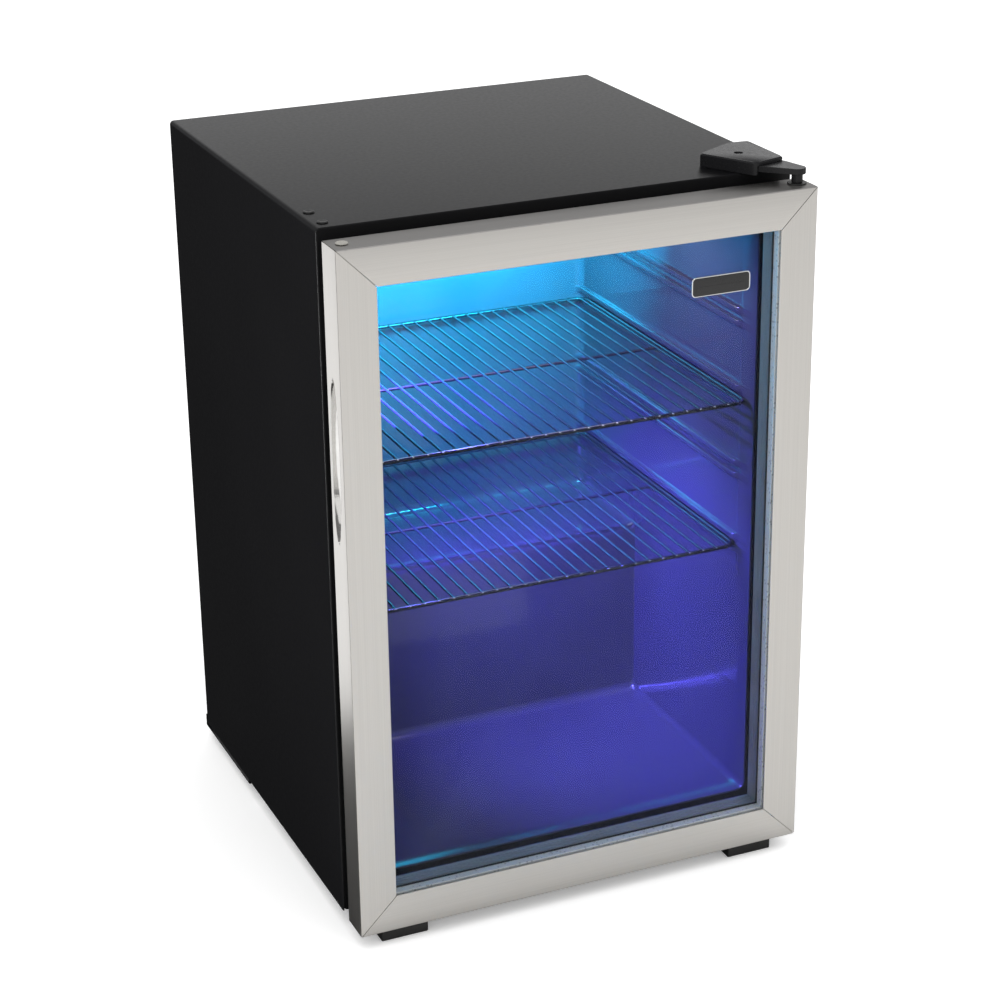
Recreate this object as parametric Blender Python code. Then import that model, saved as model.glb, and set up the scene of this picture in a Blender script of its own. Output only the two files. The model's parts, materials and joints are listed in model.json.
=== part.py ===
"""Compact fridge with a framed glass door, built from separate pieces.

Metres, +Z up, front towards -Y.  The origin is the middle of the footprint, on the ground.
Depths are measured back from the cabinet's front face (y = 0) and shifted at the end by FACE_Y.
"""
import math

import bmesh
import bpy
from mathutils import Matrix, Vector

# Driving dimensions
DOOR_WIDTH = 0.445
CABINET_WIDTH = 0.4446
CABINET_DEPTH = 0.411
CABINET_BOTTOM = 0.0165
CABINET_TOP = 0.6617
DOOR_BOTTOM = 0.0148
DOOR_TOP = 0.6554
DOOR_FRONT = -0.0476
DOOR_BACK = -0.0156
FRAME_FACE = 0.035          # width of the stainless frame seen from the front
REAR_REACH = 0.4265         # tip of the rear spacers behind the cabinet's face
BACK_SKIN = CABINET_DEPTH - 0.0005   # outer face of the back panel
FACE_Y = -(REAR_REACH + DOOR_FRONT) / 2

GAP = 0.0003                # clearance between pieces that touch
STEEL = 0.001               # sheet of the cabinet and of the door skins
LINER_WALL = 0.0015
PLASTIC = 0.0018
FRONT_LIP = 0.003           # depth of the frame round the liner's mouth

LINER_HALF = 0.192          # inside of the liner
LINER_FLOOR = 0.048
LINER_CEILING = 0.627
LINER_BACK = 0.365
LINER_CORNER = 0.008
HUMP_Y = 0.2385             # front of the step over the compressor
HUMP_Z = 0.235

BAY_Y = 0.2665              # front wall of the compressor bay
BAY_TOP = 0.200

SHELF_LEVELS = (0.2945, 0.3685, 0.4425, 0.5165)   # heights of the rib pairs
RIB_REACH = 0.005
RIB_HEIGHT = 0.006
SHELF_HALF = 0.1905
SHELF_ROD = 0.004
SHELF_WIRES = 27
SHELF_PITCH = 0.014
SHELF_WIRE = 0.0025
UPPER_SHELF = dict(level=SHELF_LEVELS[2], front=0.004)
LOWER_SHELF = dict(level=SHELF_LEVELS[0], front=0.020)
SHELF_BACK = 0.355

PLATE = 0.0018              # evaporator plate
COIL_RADIUS = 0.0018        # condenser tube
SUCTION_RADIUS = 0.0032
DISCHARGE_RADIUS = 0.0025

HINGE_X = 0.2108
HINGE_Y = -0.031
HINGE_PIN_RADIUS = 0.0035
BUSHING_RADIUS = 0.0065
BUSHING_DEPTH = 0.017
PLUG_RADIUS = 0.0034        # shank of the cap in the spare hinge hole
PLUG_DEPTH = 0.010

GLASS = 0.003
GLASS_OVERLAP = 0.012       # how far the glass reaches behind the frame
GLASS_FRONT = DOOR_FRONT + STEEL + GAP
SPACER_DEPTH = 0.0084

HANDLE_Z = 0.467
HANDLE_Y = -0.0295
HANDLE_HALF_LENGTH = 0.075
HANDLE_HALF_WIDTH = 0.0105
HANDLE_DEPTH = 0.0165

HOUSING_HALF = 0.065
HOUSING_FRONT = 0.018
HOUSING_BACK = 0.083
HOUSING_BOTTOM = 0.5985
KNOB_Z = 0.6125
SWITCH_X = 0.040
SWITCH_Y = 0.0195
SWITCH_TILT = 5.0           # degrees, the rocker rests on one side
SWITCH_HALF = (0.007, 0.0024, 0.005)
LENS_X = -0.038
LENS_Y = 0.045

TRAY_Z = 0.0105
TRAY_BACK = 0.418
COMPRESSOR = dict(x=0.04, y=0.3425, radius=0.056, bottom=0.0263, top=0.158)

MATERIALS = {
    "black_steel": ((0.012, 0.012, 0.013), 0.42, 0.0),
    "stainless": ((0.62, 0.60, 0.58), 0.30, 1.0),
    "black_plastic": ((0.02, 0.02, 0.02), 0.45, 0.0),
    "grey_plastic": ((0.20, 0.20, 0.195), 0.50, 0.0),
    "rubber": ((0.05, 0.05, 0.052), 0.70, 0.0),
    "liner_plastic": ((0.05, 0.06, 0.09), 0.12, 0.0),
    "foam": ((0.75, 0.65, 0.40), 0.90, 0.0),
    "zinc_steel": ((0.45, 0.46, 0.47), 0.40, 1.0),
    "black_wire": ((0.015, 0.015, 0.017), 0.35, 0.0),
    "copper": ((0.72, 0.36, 0.20), 0.30, 1.0),
    "aluminium": ((0.75, 0.76, 0.78), 0.30, 1.0),
    "glass": ((0.80, 0.85, 0.88), 0.03, 0.0),
    "chrome": ((0.80, 0.80, 0.81), 0.06, 1.0),
    "pale_plastic": ((0.60, 0.58, 0.54), 0.45, 0.0),
    "circuit_board": ((0.03, 0.16, 0.07), 0.50, 0.0),
}


# ---------------------------------------------------------------- outlines

def arc(centre, radius, start, stop, steps):
    """Points on an arc, both ends included, angles in degrees."""
    angles = [math.radians(start + (stop - start) * i / steps) for i in range(steps + 1)]
    return [(centre[0] + radius * math.cos(a), centre[1] + radius * math.sin(a)) for a in angles]


def rectangle(u0, u1, v0, v1):
    return [(u0, v0), (u1, v0), (u1, v1), (u0, v1)]


def rounded_rectangle(u0, u1, v0, v1, radius, steps=3):
    return (
        arc((u1 - radius, v0 + radius), radius, -90, 0, steps)
        + arc((u1 - radius, v1 - radius), radius, 0, 90, steps)
        + arc((u0 + radius, v1 - radius), radius, 90, 180, steps)
        + arc((u0 + radius, v0 + radius), radius, 180, 270, steps)
    )


def circle(centre, radius, steps):
    return arc(centre, radius, 0, 360, steps)[:-1]


def oval(centre, half_width, half_length, steps=36):
    """An ellipse, long in its second axis."""
    angles = [2 * math.pi * i / steps for i in range(steps)]
    return [(centre[0] + half_width * math.cos(a), centre[1] + half_length * math.sin(a)) for a in angles]


def inset(points, distance):
    """Move every side of a counter-clockwise polygon inwards."""
    moved = []
    count = len(points)
    for i in range(count):
        before, here, after = (Vector(points[(i + k) % count]) for k in (-1, 0, 1))
        first = (here - before).normalized()
        second = (after - here).normalized()
        bisector = Vector((-first.y - second.y, first.x + second.x)).normalized()
        stretch = distance / bisector.dot(Vector((-first.y, first.x)))
        moved.append(tuple(here + bisector * stretch))
    return moved


def rounded(points, radius, steps=3):
    """Round each corner of a polygon with a curve of about the given radius."""
    outline = []
    count = len(points)
    for i in range(count):
        before, here, after = (Vector(points[(i + k) % count]) for k in (-1, 0, 1))
        start = here + (before - here).normalized() * radius
        stop = here + (after - here).normalized() * radius
        for k in range(steps + 1):
            t = k / steps
            outline.append(tuple(start * (1 - t) ** 2 + here * 2 * t * (1 - t) + stop * t ** 2))
    return outline


def lift(outline, plane, level):
    """Place a flat outline in the xy, xz or yz plane at a level along the third axis."""
    if plane == "xy":
        return [Vector((u, v, level)) for u, v in outline]
    if plane == "xz":
        return [Vector((u, level, v)) for u, v in outline]
    return [Vector((level, u, v)) for u, v in outline]


# ---------------------------------------------------------------- solids

def material(name):
    existing = bpy.data.materials.get(name)
    if existing:
        return existing
    colour, roughness, metallic = MATERIALS[name]
    made = bpy.data.materials.new(name)
    made.use_nodes = True
    shader = made.node_tree.nodes["Principled BSDF"]
    shader.inputs["Base Color"].default_value = (*colour, 1.0)
    shader.inputs["Roughness"].default_value = roughness
    shader.inputs["Metallic"].default_value = metallic
    return made


def add_object(name, bm, material_name, parent=None):
    """Turn a bmesh drawn from the cabinet's face into an object in the part's frame."""
    bmesh.ops.remove_doubles(bm, verts=bm.verts, dist=1e-6)
    bmesh.ops.translate(bm, verts=bm.verts, vec=(0.0, FACE_Y, 0.0))
    bmesh.ops.recalc_face_normals(bm, faces=bm.faces)
    mesh = bpy.data.meshes.new(name)
    bm.to_mesh(mesh)
    bm.free()
    mesh.materials.append(material(material_name))
    mesh.shade_smooth()
    mesh.set_sharp_from_angle(angle=math.radians(35))
    made = bpy.data.objects.new(name, mesh)
    bpy.context.collection.objects.link(made)
    if parent is not None:
        made.parent = parent
        made.matrix_parent_inverse = Matrix.Translation(-parent.location)
    return made


def loft(name, loops, material_name, parent=None, closed=False):
    """Skin a row of loops with equal point counts; the ends are capped unless it closes on itself."""
    bm = bmesh.new()
    rows = [[bm.verts.new(point) for point in loop] for loop in loops]
    pairs = list(zip(rows, rows[1:]))
    if closed:
        pairs.append((rows[-1], rows[0]))
    for first, second in pairs:
        count = len(first)
        for i in range(count):
            j = (i + 1) % count
            bm.faces.new((first[i], first[j], second[j], second[i]))
    if not closed:
        bm.faces.new(rows[0])
        bm.faces.new(rows[-1])
    return add_object(name, bm, material_name, parent)


def prism(name, outline, plane, start, stop, material_name, parent=None):
    return loft(name, [lift(outline, plane, start), lift(outline, plane, stop)], material_name, parent)


def block(name, low, high, material_name, parent=None, corner=0.0):
    """A box, with its upright edges rounded when a corner radius is given."""
    if corner:
        outline = rounded_rectangle(low[0], high[0], low[1], high[1], corner)
    else:
        outline = rectangle(low[0], high[0], low[1], high[1])
    return prism(name, outline, "xy", low[2], high[2], material_name, parent)


def turned(name, profile, centre, axis, material_name, parent=None, steps=16, ring=False):
    """Turn a profile of (radius, height) pairs about an axis through a point; a ring closes on itself."""
    loops = []
    for radius, height in profile:
        outline = circle((0.0, 0.0), radius, steps)
        if axis == "z":
            loops.append([Vector((centre[0] + u, centre[1] + v, height)) for u, v in outline])
        else:
            loops.append([Vector((centre[0] + u, height, centre[1] + v)) for u, v in outline])
    return loft(name, loops, material_name, parent, closed=ring)


def tube(name, path, radius, material_name, parent=None, sides=8):
    """Sweep a round section along a path of points."""
    points = [Vector(p) for p in path]
    count = len(points)
    tangents = []
    for i in range(count):
        ahead = points[min(i + 1, count - 1)]
        behind = points[max(i - 1, 0)]
        tangents.append((ahead - behind).normalized())
    side = tangents[0].orthogonal().normalized()
    loops = []
    for point, tangent in zip(points, tangents):
        side = (side - tangent * side.dot(tangent)).normalized()
        other = tangent.cross(side)
        angles = [2 * math.pi * k / sides for k in range(sides)]
        loops.append([point + (side * math.cos(a) + other * math.sin(a)) * radius for a in angles])
    return loft(name, loops, material_name, parent)


def smooth_path(points, steps=5):
    """A path through hand-set points with every bend rounded."""
    path = [Vector(points[0])]
    for before, here, after in zip(points, points[1:], points[2:]):
        here = Vector(here)
        start = here.lerp(Vector(before), min(0.4, 0.02 / (here - Vector(before)).length))
        stop = here.lerp(Vector(after), min(0.4, 0.02 / (here - Vector(after)).length))
        for k in range(steps + 1):
            t = k / steps
            path.append(start * (1 - t) ** 2 + here * 2 * t * (1 - t) + stop * t ** 2)
    path.append(Vector(points[-1]))
    return path


def carve(target, cutter):
    """Cut one object out of another and drop the cutter."""
    cutter.hide_render = True
    cutter.display_type = "WIRE"
    cut = target.modifiers.new("cut", "BOOLEAN")
    cut.operation = "DIFFERENCE"
    cut.solver = "EXACT"
    cut.object = cutter
    bpy.context.view_layer.update()
    graph = bpy.context.evaluated_depsgraph_get()
    mesh = bpy.data.meshes.new_from_object(target.evaluated_get(graph))
    target.modifiers.remove(cut)
    target.data = mesh
    mesh.set_sharp_from_angle(angle=math.radians(35))
    bpy.data.objects.remove(cutter)


def drill(target, centre, radius, start, stop, axis="z", steps=16):
    cutter = turned("cutter", [(radius, start), (radius, stop)], centre, axis, "black_steel", steps=steps)
    carve(target, cutter)


def cut_box(target, low, high):
    carve(target, block("cutter", low, high, "black_steel"))


def joint_axis(name, location):
    """An empty on a joint's axis, which the moving pieces hang from."""
    made = bpy.data.objects.new(name, None)
    made.location = (location[0], location[1] + FACE_Y, location[2])
    made.empty_display_size = 0.02
    bpy.context.collection.objects.link(made)
    return made


# ---------------------------------------------------------------- cabinet

def make_outer_wrapper():
    half = CABINET_WIDTH / 2
    bend = 0.004
    centre_z = CABINET_TOP - bend
    centre_x = half - bend
    outline = [(-half, CABINET_BOTTOM)]
    outline += arc((-centre_x, centre_z), bend, 180, 90, 4)
    outline += arc((centre_x, centre_z), bend, 90, 0, 4)
    outline += [(half, CABINET_BOTTOM), (half - STEEL, CABINET_BOTTOM)]
    outline += arc((centre_x, centre_z), bend - STEEL, 0, 90, 4)
    outline += arc((-centre_x, centre_z), bend - STEEL, 90, 180, 4)
    outline += [(STEEL - half, CABINET_BOTTOM)]
    prism("outer_wrapper", outline, "xz", 0.0, CABINET_DEPTH, "black_steel")


INSIDE_HALF = CABINET_WIDTH / 2 - STEEL - GAP
PANEL_BOTTOM = CABINET_BOTTOM + GAP


def make_bottom_panel():
    top = PANEL_BOTTOM + STEEL
    back = BACK_SKIN
    front = FRONT_LIP + 0.0005
    profile = [
        (front, PANEL_BOTTOM), (BAY_Y, PANEL_BOTTOM), (BAY_Y, BAY_TOP), (back, BAY_TOP),
        (back, BAY_TOP + STEEL), (BAY_Y - STEEL, BAY_TOP + STEEL), (BAY_Y - STEEL, top), (front, top),
    ]
    prism("bottom_panel", profile, "yz", -INSIDE_HALF, INSIDE_HALF, "zinc_steel")


def make_back_panel():
    """Flat sheet whose top corners follow the bend of the wrapper."""
    radius = FRONT_LIP
    side = INSIDE_HALF - radius
    bottom = BAY_TOP + STEEL + GAP
    bend = CABINET_TOP - STEEL - GAP - radius
    outline = [(-INSIDE_HALF, bottom), (INSIDE_HALF, bottom)]
    outline += arc((side, bend), radius, 0, 90, 3)
    outline += arc((-side, bend), radius, 90, 180, 3)
    prism("back_panel", outline, "xz", BACK_SKIN - STEEL, BACK_SKIN, "zinc_steel")


def make_front_frame():
    depth = FRONT_LIP
    top = CABINET_TOP - STEEL - GAP
    liner_edge = LINER_HALF + LINER_WALL + GAP
    outer = rounded_rectangle(-INSIDE_HALF, INSIDE_HALF, CABINET_BOTTOM + GAP, top, depth, 3)
    inner = rounded_rectangle(
        -liner_edge, liner_edge, LINER_FLOOR - LINER_WALL - GAP, LINER_CEILING + LINER_WALL + GAP,
        LINER_CORNER + LINER_WALL + GAP, 3,
    )
    loops = [lift(outer, "xz", 0.0), lift(outer, "xz", depth), lift(inner, "xz", depth),
        lift(inner, "xz", 0.0)]
    loft("front_frame", loops, "black_steel", closed=True)


def cabinet_section(y, half, bottom, top, radius, reach=0.0):
    """One upright section of the liner or foam, with rib points up both side walls."""
    step_z = HUMP_Z + LINER_CORNER
    wall = [(half, step_z)]
    for level in SHELF_LEVELS:
        for rib_top in (level - GAP, level + SHELF_ROD + 0.008):
            rib_bottom = rib_top - RIB_HEIGHT
            slope = 0.001
            wall += [(half, rib_bottom - slope), (half - reach, rib_bottom)]
            wall += [(half - reach, rib_top), (half, rib_top)]
    section = arc((half - radius, bottom + radius), radius, -90, 0, 3)
    section += wall
    section += arc((half - radius, top - radius), radius, 0, 90, 3)
    mirrored = [(-u, v) for u, v in reversed(section)]
    return lift(section + mirrored, "xz", y)


def make_inner_liner():
    wall = LINER_WALL
    outer = dict(half=LINER_HALF + wall, top=LINER_CEILING + wall, radius=LINER_CORNER + wall)
    inner = dict(half=LINER_HALF, top=LINER_CEILING, radius=LINER_CORNER)
    floor_out, hump_out = LINER_FLOOR - wall, HUMP_Z - wall
    loops = [
        cabinet_section(LINER_BACK + wall, bottom=hump_out, **outer),
        cabinet_section(HUMP_Y + wall, bottom=hump_out, **outer),
        cabinet_section(HUMP_Y + wall, bottom=floor_out, **outer),
        cabinet_section(0.0, bottom=floor_out, **outer),
        cabinet_section(0.0, bottom=LINER_FLOOR, **inner),
        cabinet_section(0.022, bottom=LINER_FLOOR, **inner),
        cabinet_section(0.030, bottom=LINER_FLOOR, reach=RIB_REACH, **inner),
        cabinet_section(HUMP_Y, bottom=LINER_FLOOR, reach=RIB_REACH, **inner),
        cabinet_section(HUMP_Y, bottom=HUMP_Z, reach=RIB_REACH, **inner),
        cabinet_section(LINER_BACK, bottom=HUMP_Z, reach=RIB_REACH, **inner),
    ]
    loft("inner_liner", loops, "liner_plastic")


EVAPORATOR = (-0.150, 0.150, 0.300, 0.600)
CONDENSER = (-0.170, 0.170, 0.240, 0.620)


def plain_section(y, half, bottom, top, radius):
    """A cabinet section whose side walls have one point at the height of the step."""
    section = arc((half - radius, bottom + radius), radius, -90, 0, 3)
    section += [(half, HUMP_Z + LINER_CORNER)]
    section += arc((half - radius, top - radius), radius, 0, 90, 3)
    return lift(section + [(-u, v) for u, v in reversed(section)], "xz", y)


def make_insulation_foam():
    clear = LINER_WALL + GAP
    outer = dict(half=INSIDE_HALF, top=CABINET_TOP - STEEL - GAP, radius=0.003)
    inner = dict(half=LINER_HALF + clear, top=LINER_CEILING + clear, radius=LINER_CORNER + clear)
    bottom = PANEL_BOTTOM + STEEL + GAP
    over_bay = BAY_TOP + STEEL + GAP
    bay_front = BAY_Y - STEEL - GAP
    back = BACK_SKIN - STEEL - GAP
    cold_depth = PLATE + 0.0004
    hot_depth = 2 * COIL_RADIUS + 0.0009
    cold = dict(half=EVAPORATOR[1], bottom=EVAPORATOR[2], top=EVAPORATOR[3], radius=0.002)
    hot = dict(half=CONDENSER[1], bottom=CONDENSER[2], top=CONDENSER[3], radius=0.002)
    step_back = HUMP_Y + clear
    loops = [
        plain_pocket(back - hot_depth, hot),
        plain_pocket(back, hot),
        plain_section(back, bottom=over_bay, **outer),
        plain_section(bay_front, bottom=over_bay, **outer),
        plain_section(bay_front, bottom=bottom, **outer),
        plain_section(FRONT_LIP + GAP, bottom=bottom, **outer),
        plain_section(FRONT_LIP + GAP, bottom=LINER_FLOOR - clear, **inner),
        plain_section(step_back, bottom=LINER_FLOOR - clear, **inner),
        plain_section(step_back, bottom=HUMP_Z - clear, **inner),
        plain_section(LINER_BACK + clear, bottom=HUMP_Z - clear, **inner),
        plain_pocket(LINER_BACK + clear, cold),
        plain_pocket(LINER_BACK + clear + cold_depth, cold),
    ]
    loft("insulation_foam", loops, "foam")


def plain_pocket(y, size):
    """A flat pocket in the foam, with the same point count as a cabinet section."""
    half, bottom, top, radius = size["half"], size["bottom"], size["top"], size["radius"]
    section = arc((half - radius, bottom + radius), radius, -90, 0, 3)
    section += [(half, (bottom + top) / 2)]
    section += arc((half - radius, top - radius), radius, 0, 90, 3)
    return lift(section + [(-u, v) for u, v in reversed(section)], "xz", y)


def make_evaporator():
    x0, x1, z0, z1 = EVAPORATOR
    front = LINER_BACK + LINER_WALL + GAP
    margin = 0.0005
    outline = rounded_rectangle(x0 + margin, x1 - margin, z0 + margin, z1 - margin, 0.004)
    prism("evaporator_plate", outline, "xz", front, front + PLATE, "aluminium")


def make_condenser():
    """Flat serpentine of tube behind the back panel."""
    x0, x1, z0, z1 = CONDENSER
    runs = 6
    margin = 0.012
    spacing = (z1 - z0 - 2 * margin) / (runs - 1)
    y = BACK_SKIN - STEEL - 2 * GAP - COIL_RADIUS - 0.0003
    path = []
    for run in range(runs):
        z = z0 + margin + run * spacing
        ends = [x0 + margin, x1 - margin]
        if run % 2:
            ends.reverse()
        turn = 0.006 if ends[1] > ends[0] else -0.006
        path += [(ends[0] + turn, y, z), (ends[1] - turn, y, z)]
        if run < runs - 1:
            path += [(ends[1], y, z + 0.006), (ends[1], y, z + spacing - 0.006)]
    tube("condenser_coil", path, COIL_RADIUS, "copper", sides=6)


# ---------------------------------------------------------------- compressor bay

def make_tray():
    sheet = 0.0015
    front = 0.275
    profile = [
        (front, TRAY_Z), (TRAY_BACK, TRAY_Z), (TRAY_BACK, 0.0235), (TRAY_BACK - sheet, 0.0235),
        (TRAY_BACK - sheet, TRAY_Z + sheet), (front + sheet, TRAY_Z + sheet),
        (front + sheet, CABINET_BOTTOM - GAP), (front, CABINET_BOTTOM - GAP),
    ]
    prism("compressor_tray", profile, "yz", -0.2215, 0.2215, "black_steel")


def make_compressor_group():
    x, y, radius = COMPRESSOR["x"], COMPRESSOR["y"], COMPRESSOR["radius"]
    bottom, top = COMPRESSOR["bottom"], COMPRESSOR["top"]
    block("compressor_base", (x - 0.085, y - 0.052, 0.0243), (x + 0.085, y + 0.052, 0.0260),
        "zinc_steel", corner=0.01)
    profile = [
        (radius * 0.72, bottom), (radius * 0.92, bottom + 0.012), (radius * 0.97, bottom + 0.045),
        (radius, bottom + 0.048), (radius, bottom + 0.054), (radius * 0.97, bottom + 0.057),
        (radius * 0.95, top - 0.035), (radius * 0.80, top - 0.012), (radius * 0.45, top - 0.002),
        (radius * 0.12, top),
    ]
    turned("compressor", profile, (x, y), "z", "black_steel", steps=28)
    spots = [(x + sx * 0.072, y + sy * 0.040) for sx in (-1, 1) for sy in (-1, 1)]
    for number, spot in enumerate(spots, 1):
        profile = [(0.009, 0.0123), (0.009, 0.0165), (0.0065, 0.018), (0.009, 0.0195), (0.009, 0.0240)]
        turned(f"compressor_grommet_{number}", profile, spot, "z", "rubber", steps=12)
    side = x - radius - GAP
    block("relay_cover", (side - 0.030, y - 0.021, 0.070), (side, y + 0.021, 0.115),
        "black_plastic", corner=0.004)


def make_drain_pan():
    x, y = COMPRESSOR["x"], COMPRESSOR["y"]
    bottom = COMPRESSOR["top"] + GAP
    rim = bottom + 0.024
    wall = 0.0015

    def level(z, half_x, half_y):
        return lift(rounded_rectangle(x - half_x, x + half_x, y - half_y, y + half_y, 0.008), "xy", z)

    loops = [
        level(bottom, 0.060, 0.048), level(rim, 0.064, 0.052),
        level(rim, 0.064 - wall, 0.052 - wall), level(bottom + wall, 0.060 - wall, 0.048 - wall),
    ]
    loft("drain_pan", loops, "pale_plastic")


def make_bay_tubes():
    x, y, radius = COMPRESSOR["x"], COMPRESSOR["y"], COMPRESSOR["radius"]
    ceiling = BAY_TOP - GAP
    right = x + radius + 2 * GAP
    left = x - radius - 2 * GAP
    suction = [(right, y, 0.085), (0.150, y, 0.085), (0.165, 0.310, 0.120), (0.165, 0.310, ceiling)]
    tube("suction_tube", smooth_path(suction), SUCTION_RADIUS, "copper")
    discharge = [(left, y, 0.050), (-0.080, y, 0.050), (-0.135, 0.380, 0.075), (-0.135, 0.380, ceiling)]
    tube("discharge_tube", smooth_path(discharge), DISCHARGE_RADIUS, "copper")
    profile = [(0.002, 0.060), (0.008, 0.072), (0.008, 0.135), (0.002, 0.147)]
    turned("filter_drier", profile, (-0.115, 0.300), "z", "copper", steps=12)


def make_power_inlet():
    inlet = block("power_inlet", (-0.178, 0.386, 0.0123), (-0.148, 0.4160, 0.045), "black_plastic",
        corner=0.003)
    drill(inlet, (-0.163, 0.033), 0.0045, 0.404, 0.430, axis="y")


def make_rear_supports():
    for side, sign in (("left", -1), ("right", 1)):
        start = TRAY_BACK + GAP
        profile = [(0.0055, start), (0.0055, REAR_REACH - 0.002), (0.0035, REAR_REACH)]
        turned(f"rear_spacer_{side}", profile, (sign * 0.2135, 0.0172), "y", "rubber", steps=14)
        profile = [(0.013, 0.0), (0.015, 0.0015), (0.015, TRAY_Z - GAP)]
        turned(f"rear_foot_{side}", profile, (sign * 0.185, 0.385), "z", "rubber", steps=20)


# ---------------------------------------------------------------- feet and hinges

FOOT_INNER, FOOT_OUTER = 0.155, 0.200
BRACKET_BOTTOM = 0.0115
BRACKET_SHEET = 0.0025


def make_front_feet():
    under = BRACKET_BOTTOM - GAP
    front, back, edge = -0.040, 0.035, 0.0012
    plain = [(front + edge, 0.0), (back - edge, 0.0), (back, edge), (back, under), (front, under),
        (front, edge)]
    prism("front_foot_right", plain, "yz", FOOT_INNER, FOOT_OUTER, "black_plastic")
    stepped = plain[:3] + [(back, CABINET_BOTTOM), (FRONT_LIP, CABINET_BOTTOM),
        (FRONT_LIP, under)] + plain[4:]
    prism("front_foot_left", stepped, "yz", -FOOT_OUTER, -FOOT_INNER, "black_plastic")


def make_bottom_hinge():
    low, high = BRACKET_BOTTOM, BRACKET_BOTTOM + BRACKET_SHEET
    front, back = HINGE_Y - 0.0085, 0.060
    profile = [
        (front, low), (back, low), (back, CABINET_BOTTOM), (FRONT_LIP, CABINET_BOTTOM),
        (FRONT_LIP, high), (front, high),
    ]
    prism("bottom_hinge_bracket", profile, "yz", 0.150, 0.2205, "zinc_steel")
    base = high + GAP
    top = DOOR_BOTTOM + BUSHING_DEPTH - 0.001
    profile = [(HINGE_PIN_RADIUS, base), (HINGE_PIN_RADIUS, top - 0.001), (HINGE_PIN_RADIUS - 0.001, top)]
    turned("bottom_hinge_pin", profile, (HINGE_X, HINGE_Y), "z", "zinc_steel")


COVER_OUTLINE = [(0.150, 0.037), (0.179, -0.0145), (0.212, -0.005), (0.2115, 0.0585), (0.191, 0.0600)]
COVER_TOP = 0.6735
ARM_BOTTOM, ARM_TOP = 0.6646, 0.6700
ARM_TIP_RADIUS = 0.0075
ARM_SHOULDERS = [(0.1820, -0.0125), (0.2125, -0.0070)]   # where the arm leaves the cover
COVER_SCREW = (0.1824, 0.0234)


def bracket_outline(with_arm):
    """Hinge plate seen from above; without the arm its tip folds back onto the arm's root."""
    root_left, root_right = (0.1820, 0.0), (0.2085, 0.0)
    body = [(0.2085, 0.050), (0.192, 0.050), (0.160, 0.034), (0.172, 0.010)]
    steps = 8
    if with_arm:
        tip = arc((HINGE_X, HINGE_Y), ARM_TIP_RADIUS, 215, 365, steps)
        arm = [ARM_SHOULDERS[0]] + tip + [ARM_SHOULDERS[1]]
    else:
        span = root_right[0] - root_left[0]
        arm = [(root_left[0] + span * (k + 1) / (steps + 4), 0.0) for k in range(steps + 3)]
    return [root_left] + arm + [root_right] + body


def make_top_hinge():
    base = CABINET_TOP + GAP
    low, high = bracket_outline(False), bracket_outline(True)
    loops = [lift(low, "xy", base), lift(low, "xy", ARM_BOTTOM), lift(high, "xy", ARM_BOTTOM),
        lift(high, "xy", ARM_TOP)]
    loft("top_hinge_bracket", loops, "black_steel")
    shoulder = DOOR_TOP + 0.0016
    bottom = DOOR_TOP - BUSHING_DEPTH + 0.001
    profile = [
        (HINGE_PIN_RADIUS - 0.001, bottom), (HINGE_PIN_RADIUS, bottom + 0.001),
        (HINGE_PIN_RADIUS, shoulder),
        (0.005, shoulder), (0.005, ARM_BOTTOM - GAP),
    ]
    turned("top_hinge_pin", profile, (HINGE_X, HINGE_Y), "z", "black_steel")


def make_top_hinge_cover():
    base = CABINET_TOP + GAP
    wall = 0.0016
    edge = 0.0012

    def level(z, distance):
        return lift(rounded(inset(COVER_OUTLINE, distance), 0.004), "xy", z)

    loops = [
        level(COVER_TOP, edge), level(COVER_TOP - edge, 0.0), level(base, 0.0),
        level(base, wall), level(COVER_TOP - wall, wall),
    ]
    cover = loft("top_hinge_cover", loops, "black_plastic")
    cut_box(cover, (0.1812, -0.020, 0.660), (0.2140, 0.0015, ARM_TOP + GAP))
    drill(cover, COVER_SCREW, 0.0042, ARM_TOP, 0.680)
    head = ARM_TOP + GAP
    profile = [(0.0036, head), (0.0036, head + 0.0012), (0.002, head + 0.0024)]
    turned("top_hinge_cover_screw", profile, COVER_SCREW, "z", "zinc_steel", steps=12)


def make_top_plugs():
    base = CABINET_TOP + GAP
    for name, y in (("top_plug_front", 0.0142), ("top_plug_back", 0.0477)):
        profile = [(0.005, base), (0.0049, base + 0.0006), (0.0038, base + 0.0012)]
        turned(name, profile, (-HINGE_X, y), "z", "black_plastic", steps=14)


# ---------------------------------------------------------------- lamp and thermostat housing

def make_control_housing():
    top = LINER_CEILING - GAP
    wall = PLASTIC

    def level(z, distance, radius):
        outline = rounded_rectangle(
            distance - HOUSING_HALF, HOUSING_HALF - distance, HOUSING_FRONT + distance, HOUSING_BACK - distance, radius,
        )
        return lift(outline, "xy", z)

    loops = [
        level(HOUSING_BOTTOM, 0.002, 0.004), level(HOUSING_BOTTOM + 0.002, 0.0, 0.006), level(top,
            0.0, 0.006),
        level(top, wall, 0.0045), level(HOUSING_BOTTOM + wall, wall, 0.0045),
    ]
    housing = loft("control_housing", loops, "pale_plastic")
    drill(housing, (0.0, KNOB_Z), 0.0034, 0.010, 0.025, axis="y")
    half_x, half_z = SWITCH_HALF[0] + 0.0005, SWITCH_HALF[2] + 0.0006
    cut_box(housing, (SWITCH_X - half_x, 0.010, KNOB_Z - half_z),
        (SWITCH_X + half_x, 0.025, KNOB_Z + half_z))
    cut_box(housing, (LENS_X - 0.0183, LENS_Y - 0.0113, 0.590), (LENS_X + 0.0183, LENS_Y + 0.0113, 0.602))


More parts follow.
